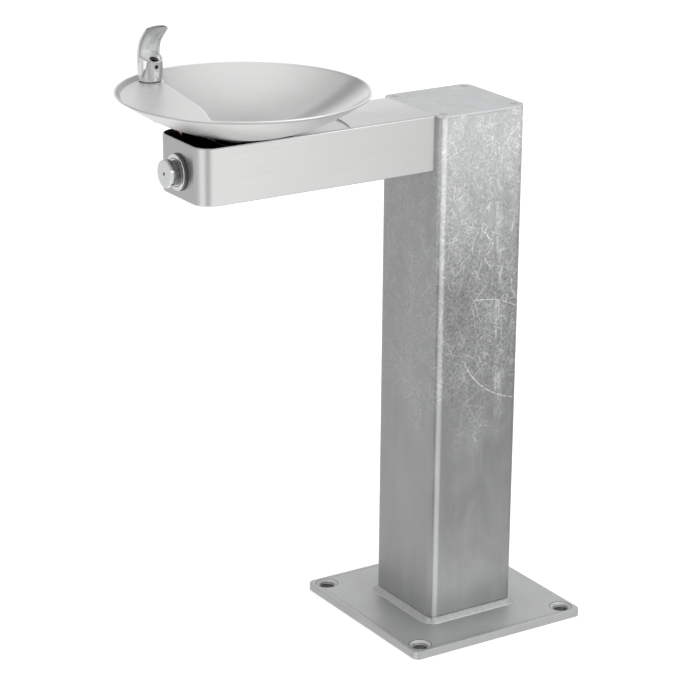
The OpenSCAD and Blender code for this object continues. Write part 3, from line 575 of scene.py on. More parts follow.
def chrome(name="chrome", hood=False):
    """Soft polished chrome with faint smudges and painted light and shade; 'hood' is for the guard over
    the stream.
    """
    m = Shader(name)
    shelf = SHELF_HIGH.z
    smudge = m.ramp(m.noise(70.0, 4.0, 0.6), 0.45, 0.75)
    haze = m.noise(30.0, 2.0)
    base = 0.76 - smudge * 0.03 + (haze - 0.5) * 0.05
    # Painted light on faces turned squarely to the front, and painted shade on faces turned to the
    # right-hand side.
    base += m.ramp(m.ny, -0.93, -0.99) * 0.16
    base *= m.fade(m.ramp(m.ny, -0.5, -0.15) * m.ramp(m.nx, 0.3, 0.6), 0.7)
    base *= m.fade(bubbler_holes(m), 0.03)
    rough = 0.12 + smudge * 0.06
    if hood:
        # Painted light and shade on the hood's inner face: lighter low down, darker towards one side, a
        # dark line along the other edge and painted shade in a band just below the top; faces turned
        # upwards are painted lighter.
        inner = m.ramp(m.nx, 0.05, 0.25)
        aside = turned(m, BUBBLER_MID, BUBBLER_DEGREES)[1]
        tone = m.line(m.z, shelf + 0.046, shelf + 0.062, 1.5, 1.2)
        tone *= m.line(aside, -0.012, 0.015, 1.0, 0.78)
        tone *= m.fade(m.ramp(aside, -0.0135, -0.0158), 0.5)
        lip_shade = m.between(m.z, shelf + 0.0772, shelf + 0.08, 0.0005)
        tone *= m.fade(lip_shade, 0.45)
        base *= m.fade(inner, tone)
        base = m.least(base * m.fade(m.ramp(m.nz, 0.3, 0.7), 1.3), 1.0)
        rough += inner * 0.34
    else:
        # Painted light on the sloping outlet face, and a dark ring on it painted as a groove's shade.
        face = m.ramp(m.nz, 0.8, 0.9) * m.ramp(m.z, shelf + 0.02, shelf + 0.022)
        away = m.hypot(m.x - BUBBLER_MID.x, m.y - BUBBLER_MID.y)
        groove = face * m.between(away, 0.0148, 0.0165, 0.0003)
        base *= m.fade(face, 1.16) * m.fade(groove, 0.55)
        rough += face * 0.18
        # Painted highlight on the front faces of the ring round the button.
        ring = m.ramp(m.ny, -0.9, -0.97) * m.ramp(m.y, ARM_LOW.y - 0.01, ARM_LOW.y - 0.008)
        base = m.least(base + ring * 0.28, 1.0)
        base *= m.fade(button_lines(m), 0.3)
    m.bump(haze, 0.0001, 0.5)
    return m.finish(m.tint(base, (0.99, 1.0, 1.0)), rough, 1.0)


def screw_steel():
    """Machined stainless of small fasteners, with fine turning marks."""
    m = Shader("screw_steel")
    turned = m.noise((800.0, 800.0, 2600.0), 3.0, 0.6)
    grime = m.noise(300.0, 3.0)
    base = 0.46 + (turned - 0.5) * 0.14 - grime * 0.08
    base += m.edges(0.0003) * 0.18
    # Painted shade on the cap screws below their top faces, where they sit in the cap.
    sockets = m.ramp(m.z, POST_HIGH.z - 0.004, POST_HIGH.z - 0.003)
    sockets *= m.ramp(m.z, CAP_TOP - 0.0002, CAP_TOP - 0.0005)
    base *= m.fade(m.most(bubbler_holes(m), sockets), 0.08)
    m.bump(turned, 0.00003)
    return m.finish(m.tint(base, STEEL), 0.26 + grime * 0.16, 1.0)


def inner_steel():
    """Hot-rolled bars and brackets inside: darker, with a mill grain and light rust."""
    m = Shader("inner_steel")
    grain = m.noise((120.0, 120.0, 20.0), 4.0, 0.6)
    rust = m.ramp(m.noise(60.0, 5.0, 0.7), 0.60, 0.76)
    grey = m.tint(0.24 + grain * 0.12 + m.edges() * 0.15, (1.0, 0.99, 0.97))
    mix = m.node("ShaderNodeMix", data_type="RGBA")
    for place, value in ((0, rust * 0.55), (6, grey), (7, (0.16, 0.09, 0.05, 1.0))):
        m.plug(mix.inputs[place], value)
    m.bump(grain + rust, 0.0001)
    return m.finish(mix.outputs[2], 0.42 + rust * 0.25, 0.9 - rust * 0.6)


def brass():
    """Turned and cast brass, slightly tarnished."""
    m = Shader("brass")
    turned = m.noise((500.0, 500.0, 1500.0), 3.0, 0.6)
    tarnish = m.noise(46.0, 4.0, 0.6)
    base = 0.8 + (turned - 0.5) * 0.12
    base = base - tarnish * 0.22 + m.edges(0.0006) * 0.18
    m.bump(turned, 0.00004)
    rough = 0.22 + tarnish * 0.28
    return m.finish(m.tint(base, (0.86, 0.64, 0.3)), rough, 1.0)


def tube_steel():
    """Drawn waste tube, lines along its length and faint oil marks."""
    m = Shader("tube_steel")
    drawn = m.noise((420.0, 420.0, 420.0), 3.0, 0.6)
    oil = m.noise((26.0, 26.0, 8.0), 4.0, 0.6)
    base = 0.56 + (drawn - 0.5) * 0.1 - oil * 0.08
    base += m.edges(0.0006) * 0.1
    m.bump(drawn, 0.00003)
    return m.finish(m.tint(base, STEEL), 0.24 + oil * 0.16, 1.0)


def copper():
    """Bent copper tube with a brown bloom."""
    m = Shader("copper")
    bloom = m.noise(85.0, 4.0, 0.6)
    drawn = m.noise((90.0, 900.0, 900.0), 2.0)
    base = 0.84 - bloom * 0.36 + (drawn - 0.5) * 0.1
    m.bump(drawn, 0.00003)
    return m.finish(m.tint(base, (0.92, 0.55, 0.38)), 0.2 + bloom * 0.25, 1.0)


def rubber():
    """Black gasket rubber, dusty and slightly grained."""
    m = Shader("rubber")
    grain = m.noise(1400.0, 3.0, 0.6)
    dust = m.noise(150.0, 3.0)
    base = 0.018 + dust * 0.028 + m.edges(0.0004) * 0.03
    m.bump(grain, 0.00005)
    return m.finish(m.tint(base, (1.0, 1.0, 1.02)), 0.55 + grain * 0.2, 0.0)


def braid():
    """Woven stainless wire over a hose: two sets of crossing strands."""
    m = Shader("braid")
    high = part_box("supply_hose")[1]
    level = m.ramp(m.z, high.z - 0.046, high.z - 0.036)
    along = m.z * (1.0 - level) + m.y * level
    angle_up = m.math("ARCTAN2", m.y - (high.y - 0.006), m.x - 0.034)
    angle_out = m.math("ARCTAN2", m.z - (high.z - 0.006), m.x - 0.034)
    turn = angle_up * (1.0 - level) + angle_out * level
    first = m.math("SINE", along * 1100.0 + turn * 9.0)
    second = m.math("SINE", along * 1100.0 - turn * 9.0)
    over = m.most(first, second)
    gap = m.ramp(over, 0.1, -0.5)
    base = 0.5 + over * 0.14 - gap * 0.34
    m.bump(over, 0.00035)
    return m.finish(m.tint(base, WHITE), 0.26 + gap * 0.3, 0.95)


def red_lever():
    """Dipped red vinyl on the stop valve's lever, rubbed at the edges."""
    m = Shader("red_lever")
    skin = m.noise(320.0, 3.0, 0.6)
    worn = m.edges() * m.ramp(m.noise(180.0, 3.0), 0.4, 0.6)
    base = 0.5 + (skin - 0.5) * 0.16 + worn * 0.25
    m.bump(skin, 0.00008)
    return m.finish(m.tint(base, (1.0, 0.075, 0.045)), 0.34 + skin * 0.16, 0.0)


MATERIALS = {
    "galvanised": galvanised(), "plate_zinc": plate_zinc(), "weld_zinc": weld_zinc(),
    "cap_zinc": cap_zinc(), "satin_steel": satin_steel(), "bowl_satin": bowl_satin(),
    "shelf_satin": shelf_satin(), "chrome": chrome(), "hood_chrome": chrome("hood_chrome", True),
    "screw_steel": screw_steel(), "inner_steel": inner_steel(),
    "brass": brass(), "tube_steel": tube_steel(), "copper": copper(), "rubber": rubber(),
    "braid": braid(), "red_lever": red_lever(),
}


# ---------- mesh helpers ----------

def add_piece(name, verts, faces, node, smooth=38):
    """Makes a mesh piece that stands for a CAD node, on its body and with its finish."""
    mesh = bpy.data.meshes.new(name)
    mesh.from_pydata([tuple(v) for v in verts], [], faces)
    mesh.validate()
    obj = bpy.data.objects.new(name, mesh)
    bpy.context.scene.collection.objects.link(obj)
    tidy(obj, smooth)
    return dress(obj, node)


def dress(obj, node):
    """Gives a piece the CAD node's finish and body, and hides the node."""
    body = next(b for b, members in BODIES.items() if node in members)
    obj.data.materials.clear()
    obj.data.materials.append(MATERIALS[SLOTS[node]])
    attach(obj, body)
    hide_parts(node)
    return obj


def tidy(obj, smooth):
    """Closed, outward-facing and smooth-shaded except at sharp edges."""
    work = bmesh.new()
    work.from_mesh(obj.data)
    bmesh.ops.remove_doubles(work, verts=work.verts, dist=1e-7)
    bmesh.ops.recalc_face_normals(work, faces=work.faces)
    work.to_mesh(obj.data)
    work.free()
    obj.data.shade_smooth()
    obj.data.set_sharp_from_angle(angle=math.radians(smooth))


def lathe(profile, steps=96):
    """Turns a closed loop, or an open line from axis to axis, of (radius, height) points."""
    verts, rings = [], []
    for radius, height in profile:
        if radius < 1e-9:
            rings.append([len(verts)] * steps)
            verts.append((0.0, 0.0, height))
            continue
        rings.append(list(range(len(verts), len(verts) + steps)))
        for k in range(steps):
            angle = 2 * math.pi * k / steps
            verts.append((radius * math.cos(angle), radius * math.sin(angle), height))
    if profile[0][0] > 1e-9:
        rings.append(rings[0])
    faces = []
    for low, high in zip(rings, rings[1:]):
        faces.extend(band(low, high))
    return verts, faces


def band(low, high):
    """Faces between two closed rings of point numbers; a ring may be one repeated point."""
    faces = []
    count = len(low)
    for k in range(count):
        j = (k + 1) % count
        corners = []
        for index in (low[k], low[j], high[j], high[k]):
            if index not in corners:
                corners.append(index)
        if len(corners) > 2:
            faces.append(tuple(corners))
    return faces


def loft(rings, caps=True):
    """Skin over rings of points, each ring the same length."""
    verts, numbers = [], []
    for ring in rings:
        numbers.append(list(range(len(verts), len(verts) + len(ring))))
        verts.extend(ring)
    faces = []
    for low, high in zip(numbers, numbers[1:]):
        faces.extend(band(low, high))
    if caps:
        faces.append(tuple(reversed(numbers[0])))
        faces.append(tuple(numbers[-1]))
    return verts, faces


def fillet(points, steps=5):
    """Rounds the corners of a line of (x, y, radius) points."""
    out = []
    last = len(points) - 1
    for k, (x, y, radius) in enumerate(points):
        if radius <= 0 or k in (0, last):
            out.append((x, y))
            continue
        here = Vector((x, y))
        before = Vector(points[k - 1][:2]) - here
        after = Vector(points[k + 1][:2]) - here
        angle = before.angle(after)
        reach = min(radius / math.tan(angle / 2), before.length * 0.49, after.length * 0.49)
        start = here + before.normalized() * reach
        end = here + after.normalized() * reach
        for i in range(steps + 1):
            t = i / steps
            out.append(tuple(start * (1 - t) ** 2 + here * 2 * t * (1 - t) + end * t * t))
    return out


def shift(points, vector):
    return [Vector(p) + Vector(vector) for p in points]


def turn_to_y(points):
    """Turns a shape built along +Z so that it points along +Y."""
    turn = Matrix.Rotation(math.radians(-90), 3, "X")
    return [turn @ Vector(p) for p in points]


def cut(obj, cutters, how="DIFFERENCE"):
    """Cuts loose cutter meshes away from obj, or joins or keeps them, and removes them."""
    for verts, faces in cutters:
        tool = loose("cutter", verts, faces)
        step = obj.modifiers.new("cut", "BOOLEAN")
        step.operation = how
        step.solver = "EXACT"
        step.object = tool
        apply_modifiers(obj)
        bpy.data.objects.remove(tool)
    return obj


def apply_modifiers(obj):
    """Bakes a piece's modifiers into its mesh."""
    bpy.context.view_layer.update()
    graph = bpy.context.evaluated_depsgraph_get()
    baked = bpy.data.meshes.new_from_object(obj.evaluated_get(graph))
    obj.modifiers.clear()
    old = obj.data
    obj.data = baked
    bpy.data.meshes.remove(old)


def loose(name, verts, faces):
    """A mesh object with no body yet, to be cut and dressed."""
    mesh = bpy.data.meshes.new(name)
    mesh.from_pydata([tuple(v) for v in verts], [], faces)
    obj = bpy.data.objects.new(name, mesh)
    bpy.context.scene.collection.objects.link(obj)
    tidy(obj, 30)
    return obj


def rounded_edges(obj, width, angle=32, segments=2):
    """Adds a small bevel to the edges sharper than the angle."""
    bevel = obj.modifiers.new("edge", "BEVEL")
    bevel.width = width
    bevel.segments = segments
    bevel.limit_method = "ANGLE"
    bevel.angle_limit = math.radians(angle)
    bevel.harden_normals = False


def box_mesh(low, high):
    """Plain box, used only as a cutter."""
    x = (low[0], high[0])
    y = (low[1], high[1])
    z = (low[2], high[2])
    rings = [[(x[0], y[0], h), (x[1], y[0], h), (x[1], y[1], h), (x[0], y[1], h)] for h in z]
    return loft(rings)


def cylinder_mesh(radius, low, high, steps=64):
    """Plain cylinder along Z, used only as a cutter."""
    return lathe([(0, low), (radius, low), (radius, high), (0, high)], steps)


# ---------- pieces ----------

def dish_height(radius):
    """Height of the dish's inner surface above the floor at this distance from its axis."""
    return DISH_CENTRE - math.sqrt(DISH_INNER * DISH_INNER - radius * radius)


def bowl_profile():
    """Section of the bowl: drain hole, cup, dish, rolled rim, and back underneath."""
    cup_under = BOWL_LOW.z
    cup_floor = cup_under + 1.5 * MM
    rim = BOWL_HIGH.z
    bead = 1.5 * MM
    bead_at = BOWL_HIGH.x - BOWL_MID.x - bead
    hole = 19.6 * MM
    points = [(hole, cup_floor), (33 * MM, cup_floor)]
    edge = dish_height(39 * MM)
    points += fillet([(33 * MM, cup_floor, 0), (36.6 * MM, cup_floor, 2.0 * MM),
                      (38.2 * MM, edge + 0.1 * MM, 1.5 * MM), (42 * MM, dish_height(42 * MM), 0)])[1:]
    for k in range(1, 61):
        radius = 42 * MM + (bead_at - 5.0 * MM - 42 * MM) * k / 60
        points.append((radius, dish_height(radius)))
    centre_z = rim - bead
    start = points[-1]
    top = math.radians(132)
    joint = (bead_at + bead * math.cos(top), centre_z + bead * math.sin(top))
    bend = (bead_at - bead - 0.5 * MM, dish_height(bead_at - bead - 0.5 * MM))
    for k in range(1, 6):
        t = k / 6
        points.append(tuple(start[i] * (1 - t) ** 2 + bend[i] * 2 * t * (1 - t) + joint[i] * t * t
                            for i in (0, 1)))
    for k in range(0, 20):
        angle = math.radians(132 - k * 10.5)
        points.append((bead_at + bead * math.cos(angle), centre_z + bead * math.sin(angle)))
    for k in range(0, 61):
        radius = bead_at - 1.6 * MM - (bead_at - 1.6 * MM - 41.5 * MM) * k / 60
        points.append((radius, DISH_CENTRE - math.sqrt(DISH_OUTER * DISH_OUTER - radius * radius)))
    points += fillet([(41.5 * MM, points[-1][1], 0), (40.6 * MM, points[-1][1] - 0.6 * MM, 0.5 * MM),
                      (40.6 * MM, cup_under, 2.2 * MM), (30 * MM, cup_under, 0)])[1:]
    points.append((hole, cup_under))
    return points


def make_bowl():
    verts, faces = lathe(bowl_profile(), 160)
    verts = shift(verts, (BOWL_MID.x, BOWL_MID.y, 0))
    return add_piece("bowl_dish", verts, faces, "bowl", 30)


def shelf_ring(inset, height):
    """One ring of the shelf's plan, shrunk by 'inset', at a height."""
    turn = SHELF_TURN
    edge = SHELF_EDGE + inset
    local = [(edge, -200 * MM)]
    for k in range(0, 25):
        rise = (1 - math.cos(math.pi * k / 24)) / 2
        local.append((edge + SHELF_STEP * rise, STEP_FROM + (STEP_TO - STEP_FROM) * k / 24))
    local += [(edge + SHELF_STEP, 200 * MM), (200 * MM, 200 * MM), (200 * MM, -200 * MM)]
    ring = []
    for u, v in local:
        ring.append((u * math.cos(turn) - v * math.sin(turn) + BOWL_MID.x,
                     u * math.sin(turn) + v * math.cos(turn) + BOWL_MID.y, height))
    return ring


def edge_rings(ring, low, high, radius):
    """Rings from low to high with the upper edge rounded; ring(inset, z) makes one."""
    steps = 4
    rings = [ring(0.0, low), ring(0.0, high - radius)]
    for k in range(1, steps + 1):
        angle = math.pi / 2 * k / steps
        rings.append(ring(radius * (1 - math.cos(angle)), high - radius + radius * math.sin(angle)))
    return rings


def dish_solid(gap):
    """Everything inside the dish's inner surface, as one closed shape."""
    rim = 173.6 * MM
    line = [(0, dish_height(0) + gap)]
    line += [(rim * k / 48, dish_height(rim * k / 48) + gap) for k in range(1, 49)]
    line += [(rim, BOWL_HIGH.z + 20 * MM), (0, BOWL_HIGH.z + 20 * MM)]
    verts, faces = lathe(line, 160)
    return shift(verts, (BOWL_MID.x, BOWL_MID.y, 0)), faces


def make_shelf():
    top = SHELF_HIGH.z
    verts, faces = loft(edge_rings(shelf_ring, SHELF_LOW.z - 5 * MM, top, 1.2 * MM))
    obj = loose("bubbler_shelf_plate", verts, faces)
    landing_radius = 20.2 * MM

    def landing(inset, height):
        radius = landing_radius - inset
        return [(BUBBLER_MID.x + radius * math.cos(math.pi * k / 32),
                 BUBBLER_MID.y + radius * math.sin(math.pi * k / 32), height) for k in range(64)]

    cut(obj, [loft(edge_rings(landing, SHELF_LOW.z, top, 2.5 * MM))], "UNION")
    cut(obj, [dish_solid(0.05 * MM)], "INTERSECT")
    tidy(obj, 24)
    dress(obj, "bubbler_shelf")
    obj.data.materials[0] = MATERIALS["shelf_satin"]
    return obj


def arm_ring(inset, height):
    """One ring of the arm's plan, shrunk by 'inset' on its three free sides."""
    radius = NOSE_RADIUS - inset
    half = ARM_HIGH.x - inset
    front = ARM_LOW.y + inset
    ring = [(half, ARM_HIGH.y, height), (-half, ARM_HIGH.y, height)]
    for middle, start in ((radius - half, math.pi), (half - radius, 1.5 * math.pi)):
        for k in range(0, 17):
            angle = start + math.pi / 2 * k / 16
            ring.append((middle + radius * math.cos(angle),
                         front + radius + radius * math.sin(angle), height))
    return ring


def arm_rings(inset, low, high, radius):
    """Rings of the arm with both its upper and lower edges rounded."""
    steps = 5
    rings = []
    for k in range(steps + 1):
        angle = math.pi / 2 * k / steps
        rings.append(arm_ring(inset + radius * (1 - math.sin(angle)),
                              low + radius * (1 - math.cos(angle))))
    for k in range(steps + 1):
        angle = math.pi / 2 * k / steps
        rings.append(arm_ring(inset + radius * (1 - math.cos(angle)),
                              high - radius * (1 - math.sin(angle))))
    return rings


def make_arm():
    sheet = 2 * MM
    low, high = ARM_LOW.z, ARM_HIGH.z
    verts, faces = loft(arm_rings(0.0, low, high, 2.6 * MM))
    obj = loose("arm_folded_sheet", verts, faces)
    inner_verts, inner_faces = loft(arm_rings(sheet, low + sheet, high - sheet, 0.8 * MM))
    inner_verts = [(x, y if y < ARM_HIGH.y - 1e-6 else y + 2 * MM, z) for x, y, z in inner_verts]
    trough = arm_rings(sheet, high - 3 * sheet, high + 3 * sheet, 0.01 * MM)
    round_hole = shift(cylinder_mesh(150 * MM, high - 10 * MM, high + 10 * MM, 160)[0],
                       (BOWL_MID.x, BOWL_MID.y, 0))
    opening = loose("trough_cutter", *loft(trough))
    cut(opening, [(round_hole, cylinder_mesh(1, 0, 1, 160)[1])], "INTERSECT")
    opening_mesh = ([v.co.copy() for v in opening.data.vertices],
                    [tuple(p.vertices) for p in opening.data.polygons])
    bpy.data.objects.remove(opening)
    hatch = box_mesh((-42 * MM, ARM_LOW.y + 32 * MM, low - 5 * MM),
                     (42 * MM, ARM_LOW.y + 282 * MM, low + 3 * MM))
    barrel = turn_to_y(cylinder_mesh(20.3 * MM, -6 * MM, 6 * MM)[0])
    barrel = shift(barrel, (BUTTON_MID.x, ARM_LOW.y, BUTTON_MID.z))
    cut(obj, [(inner_verts, inner_faces), opening_mesh, hatch, (barrel, cylinder_mesh(1, 0, 1)[1])])
    tidy(obj, 30)
    return dress(obj, "arm_shell")


def button_profile():
    """Section of the button along its axis, from the face inwards."""
    outer = BUTTON_RADIUS
    neck = 17.1 * MM
    hole = 2.4 * MM
    line = [(hole, 1.0 * MM, 0), (hole, 0, 0.3 * MM), (outer, 0, 1.3 * MM), (outer, 9 * MM, 0.5 * MM),
            (neck, 9 * MM, 0.5 * MM), (neck, 28.2 * MM, 0.3 * MM), (13 * MM, 28.2 * MM, 0.3 * MM),
            (13 * MM, 16.2 * MM, 0.3 * MM), (hole, 16.2 * MM, 0)]
    return fillet(line, 4)


def make_button():
    verts, faces = lathe(button_profile(), 96)
    verts = shift(turn_to_y(verts), (BUTTON_MID.x, BUTTON_FACE, BUTTON_MID.z))
    return add_piece("button_cap", verts, faces, "push_button", 30)


def make_flange():
    """Ring round the button: bevelled rim, a fine groove, and the barrel inside the arm."""
    low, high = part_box("button_flange")
    bore = FLANGE_BORE
    line = [(bore, 0, 0), (18.0 * MM, 0, 0.3 * MM), (19.6 * MM, 0, 0.2 * MM),
            (20.0 * MM, 0.6 * MM, 0.2 * MM), (20.5 * MM, 0.2 * MM, 0.2 * MM),
            (25.0 * MM, 0.6 * MM, 0.4 * MM), (26.0 * MM, 1.8 * MM, 0.5 * MM),
            (26.0 * MM, 5.5 * MM, 0.2 * MM), (20.0 * MM, 5.5 * MM, 0),
            (20.0 * MM, high.y - low.y, 0.3 * MM), (bore, high.y - low.y, 0)]
    verts, faces = lathe(fillet(line, 4), 96)
    verts = shift(turn_to_y(verts), (BUTTON_MID.x, low.y, BUTTON_MID.z))
    return add_piece("button_ring", verts, faces, "button_flange", 30)


def make_spring():
    """Round-wire coil between the button and the cartridge, squeezed as the button goes in."""
    low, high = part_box("button_spring")
    wire = 0.8 * MM
    coil = 10.5 * MM
    turns = 5
    count = 40 * turns
    length = high.y - low.y - 2 * wire
    rings = []
    for k in range(count + 1):
        angle = 2 * math.pi * turns * k / count
        along = low.y + wire + length * k / count
        mid = Vector((coil * math.cos(angle), along, coil * math.sin(angle)))
        out = Vector((math.cos(angle), 0, math.sin(angle)))
        ring = []
        for j in range(10):
            around = 2 * math.pi * j / 10
            ring.append(mid + out * wire * math.cos(around) + Vector((0, wire * math.sin(around), 0))
                        + Vector((BUTTON_MID.x, 0, BUTTON_MID.z)))
        rings.append(ring)
    verts, faces = loft(rings)
    obj = add_piece("button_coil", verts, faces, "button_spring", 60)
    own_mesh(obj)
    return obj


def bezier(points, t):
    """Smooth curve through the points (Catmull-Rom); t runs from 0 to 1."""
    last = len(points) - 1
    k = min(int(t * last), last - 1)
    u = t * last - k
    p = [Vector(points[max(0, min(last, k + i))]) for i in (-1, 0, 1, 2)]
    return 0.5 * (2 * p[1] + (p[2] - p[0]) * u + (2 * p[0] - 5 * p[1] + 4 * p[2] - p[3]) * u * u
                  + (3 * p[1] - p[0] - 3 * p[2] + p[3]) * u ** 3)


# Back ridge of the hood: forward of the bubbler's axis, above the shelf, half width, depth
HOOD = [(-18.3, 28, 18.3, 18.3), (-17.6, 37, 18.4, 17.4), (-15.5, 45.5, 18.4, 15.4),
        (-12.5, 54, 18.5, 13.8), (-8.5, 62, 18.8, 12.6), (-3.5, 68.6, 19.2, 11.8),
        (2.5, 74.6, 19.8, 10.6), (8.2, 79.0, 20.3, 9.0), (12.6, 81.4, 20.4, 7.4)]


def hood_ring(t, thick, push):
    """One closed ring round the hood's wall at t; 'thick' scales the wall, 'push' moves it on."""
    here = bezier(HOOD, t)
    ahead = bezier(HOOD, min(1.0, t + 0.01))
    behind = bezier(HOOD, max(0.0, t - 0.01))
    along = Vector((ahead[0] - behind[0], 0, ahead[1] - behind[1])).normalized()
    inward = Vector((along.z, 0, -along.x))
    wall = 2.4
    half, depth = here[2] - wall / 2, here[3] - wall / 2
    start = Vector((here[0], 0, here[1])) + inward * wall / 2 + along * push

    def middle(a):
        return start + inward * depth * (1 - math.cos(a)) + Vector((0, half * math.sin(a), 0))

    outer, inner = [], []
    count = 28
    for k in range(count + 1):
        a = math.radians(-90 + 180 * k / count)
        run = (middle(a + 0.01) - middle(a - 0.01)).normalized()
        out = run.cross(along).normalized()
        outer.append(middle(a) + out * wall / 2 * thick)
        inner.append(middle(a) - out * wall / 2 * thick)
    ring = list(outer)
    ring += end_cap(outer[-1], inner[-1], (middle(math.pi / 2 + 0.01) - middle(math.pi / 2)).normalized())
    ring += list(reversed(inner))
    ring += end_cap(inner[0], outer[0], (middle(-math.pi / 2 - 0.01) - middle(-math.pi / 2)).normalized())
    return ring


def end_cap(a, b, out):
    """Points of a half circle from a to b, bulging towards 'out'."""
    mid = (a + b) / 2
    side = (a - b) / 2
    points = []
    for k in range(1, 6):
        angle = math.pi * k / 6
        points.append(mid + side * math.cos(angle) + out * side.length * math.sin(angle))
    return points


def make_hood():
    """Guard over the stream: a half tube that flattens and curls forwards to a round edge."""
    rings = [hood_ring(k / 40, 1.0, 0.0) for k in range(41)]
    for k in range(1, 5):
        angle = math.pi / 2 * k / 4
        rings.append(hood_ring(1.0, max(math.cos(angle), 0.02), 1.2 * math.sin(angle)))
    verts, faces = loft(rings)
    obj = loose("bubbler_hood", place_bubbler(verts), faces)
    tidy(obj, 50)
    obj.data.materials.append(MATERIALS["hood_chrome"])
    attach(obj, "pedestal")
    return obj


def make_bubbler():
    """Turned body sliced by the sloping outlet face, with the nozzle's seat sunk in it."""
    foot = 1.0
    profile = fillet([(0, foot, 0), (15.7, foot, 0.3), (16.3, foot + 1.2, 0.6), (17.4, foot + 6, 6),
                      (CUP_RADIUS, foot + 19, 10), (CUP_RADIUS, 50, 0), (0, 50, 0)], 6)
    shank = fillet([(0, -38, 0), (8, -38, 0.8), (8, 3, 0), (0, 3, 0)], 3)
    obj = loose("bubbler_cup", *lathe(profile, 128))
    lean = []
    round_cut = CUP_RADIUS + 0.05
    for height in range(-2, 55, 2):
        back = next(bezier(HOOD, k / 200) for k in range(201) if bezier(HOOD, k / 200)[1] >= height)
        lean.append([(back[0] + CUP_RADIUS + round_cut * math.cos(2 * math.pi * j / 96),
                      round_cut * math.sin(2 * math.pi * j / 96), height) for j in range(96)])
    cut(obj, [loft(lean)], "INTERSECT")
    cut(obj, [lathe(shank, 64)], "UNION")
    face = box_mesh((-60, -40, 0), (60, 40, 70))
    seat = cylinder_mesh(6.55, -10, 5)
    sump = cylinder_mesh(5.0, -15, -9, 48)
    grub, grub_faces = cylinder_mesh(2.6, 0, 30, 32)
    grub = [GRUB_TURN @ Vector((along, aside, GRUB_DROP - up)) for up, aside, along in grub]
    water = lathe([(0, -40), (2.5, -40), (2.5, 21), (0, 21)], 32)
    tools = [(outlet_frame(verts), faces) for verts, faces in
             (face, seat, sump, (grub, grub_faces))]
    cut(obj, tools + [water])
    for vert, place in zip(obj.data.vertices, place_bubbler([v.co for v in obj.data.vertices])):
        vert.co = place
    rounded_edges(obj, 0.5 * MM, 40, 3)
    tidy(obj, 34)
    dress(obj, "bubbler_body")


def perimeter(offset, count=440):
    """(point, outward direction, distance along) round the foot of the post."""
    half = POST_HIGH.x
    corner = POST_CORNER
    straight = 2 * (half - corner)
    arc = math.pi / 2 * corner
    out = []
    for k in range(count):
        run = (straight + arc) * 4 * k / count
        side = int(run // (straight + arc))
        rest = run - side * (straight + arc)
        if rest < straight:
            local = Vector((half, rest - straight / 2))
            normal = Vector((1.0, 0.0))
        else:
            angle = (rest - straight) / corner
            normal = Vector((math.cos(angle), math.sin(angle)))
            local = Vector((half - corner, half - corner)) + normal * corner
        turn = Matrix.Rotation(side * math.pi / 2, 2)
        out.append((turn @ (local + normal * offset), turn @ normal, run))
    return out


def make_weld():
    """Fillet weld round the foot: a convex bead with ripples, lumps and a notch at the corners."""
    floor = PLATE_HIGH.z
    rings = []
    for point, normal, run in perimeter(0.0):
        seed = Vector((point.x * 30, point.y * 30, 0.3))
        wobble = noise.noise(seed * 1.4)
        lump = max(0.0, noise.noise(seed * 3.1 + Vector((9, 0, 0))))
        ripple = math.sin(run / (2.6 * MM) * 2 * math.pi + 2 * wobble)
        corner = max(0.0, abs(normal.x * normal.y) * 2)
        notch = 1.6 * max(0.0, corner - 0.93) / 0.07 * (normal.x > 0 > normal.y)
        blob = 1.3 * max(0.0, corner - 0.5) * (normal.x * normal.y > 0)
        leg = (8.2 + 0.7 * wobble + 0.5 * lump + blob - notch) * MM
        tall = (7.2 + 0.5 * wobble + 0.4 * lump + blob - notch) * MM
        ring = []
        for k in range(9):
            t = k / 8
            out = leg * (1 - t)
            rise = tall * t
            belly = math.sin(math.pi * t) * (0.12 + 0.05 * ripple + 0.35 * lump + 0.5 * blob) * MM
            place = point + normal * (out + belly * 0.7)
            ring.append((place.x, place.y, floor + rise + belly * 0.7))
        inner = point - normal * 0.3 * MM
        ring.append((inner.x, inner.y, floor + tall))
        ring.append((inner.x, inner.y, floor - 0.1 * MM))
        edge = point + normal * leg
        ring.append((edge.x, edge.y, floor - 0.1 * MM))
        rings.append(ring)
    rings.append(rings[0])
    verts, faces = loft(rings, caps=False)
    return add_piece("foot_weld_bead", verts, faces, "foot_weld", 50)


def polish_node(name, width):
    """Keeps a CAD node: gives it its finish, welded corners and a fine bevel."""
    obj = NODES[name]
    material = MATERIALS[SLOTS[name]]
    obj.data.materials.clear()
    obj.data.materials.append(material)
    weld = obj.modifiers.new("join", "WELD")
    weld.merge_threshold = 1e-6
    for face in obj.data.polygons:
        face.use_smooth = True
    if width:
        rounded_edges(obj, width * MM)
        flat = obj.modifiers.new("flat", "WEIGHTED_NORMAL")
        flat.weight = 100
        return
    split = obj.modifiers.new("sharp", "EDGE_SPLIT")
    split.split_angle = math.radians(28)


BEVELS = {
    "base_plate": 0.9, "post": 0.0, "post_cap": 0.0, "access_cover": 0.5, "arm_bottom_cover": 0.3,
    "pipe_bracket": 0.4, "arm_flange": 0.3, "arm_backing_bars": 0.3, "bowl_bracket": 0.3,
    "arm_bolts": 0.3, "arm_nuts": 0.3, "bowl_nuts": 0.2, "slip_nuts": 0.5, "drain_locknut": 0.4,
    "valve_locknut": 0.4, "bubbler_locknut": 0.3, "tube_nuts": 0.3, "hose_nuts": 0.3,
    "stop_valve_body": 0.4, "line_strainer": 0.4, "stop_valve_lever": 0.4, "cap_screws": 0.0,
    "access_cover_screws": 0.25, "arm_cover_screws": 0.25, "lever_screw": 0.2, "grid_screw": 0.25,
    "drain_grid": 0.15, "bubbler_gasket": 0.2, "button_gasket": 0.2, "cap_lugs": 0.3,
}


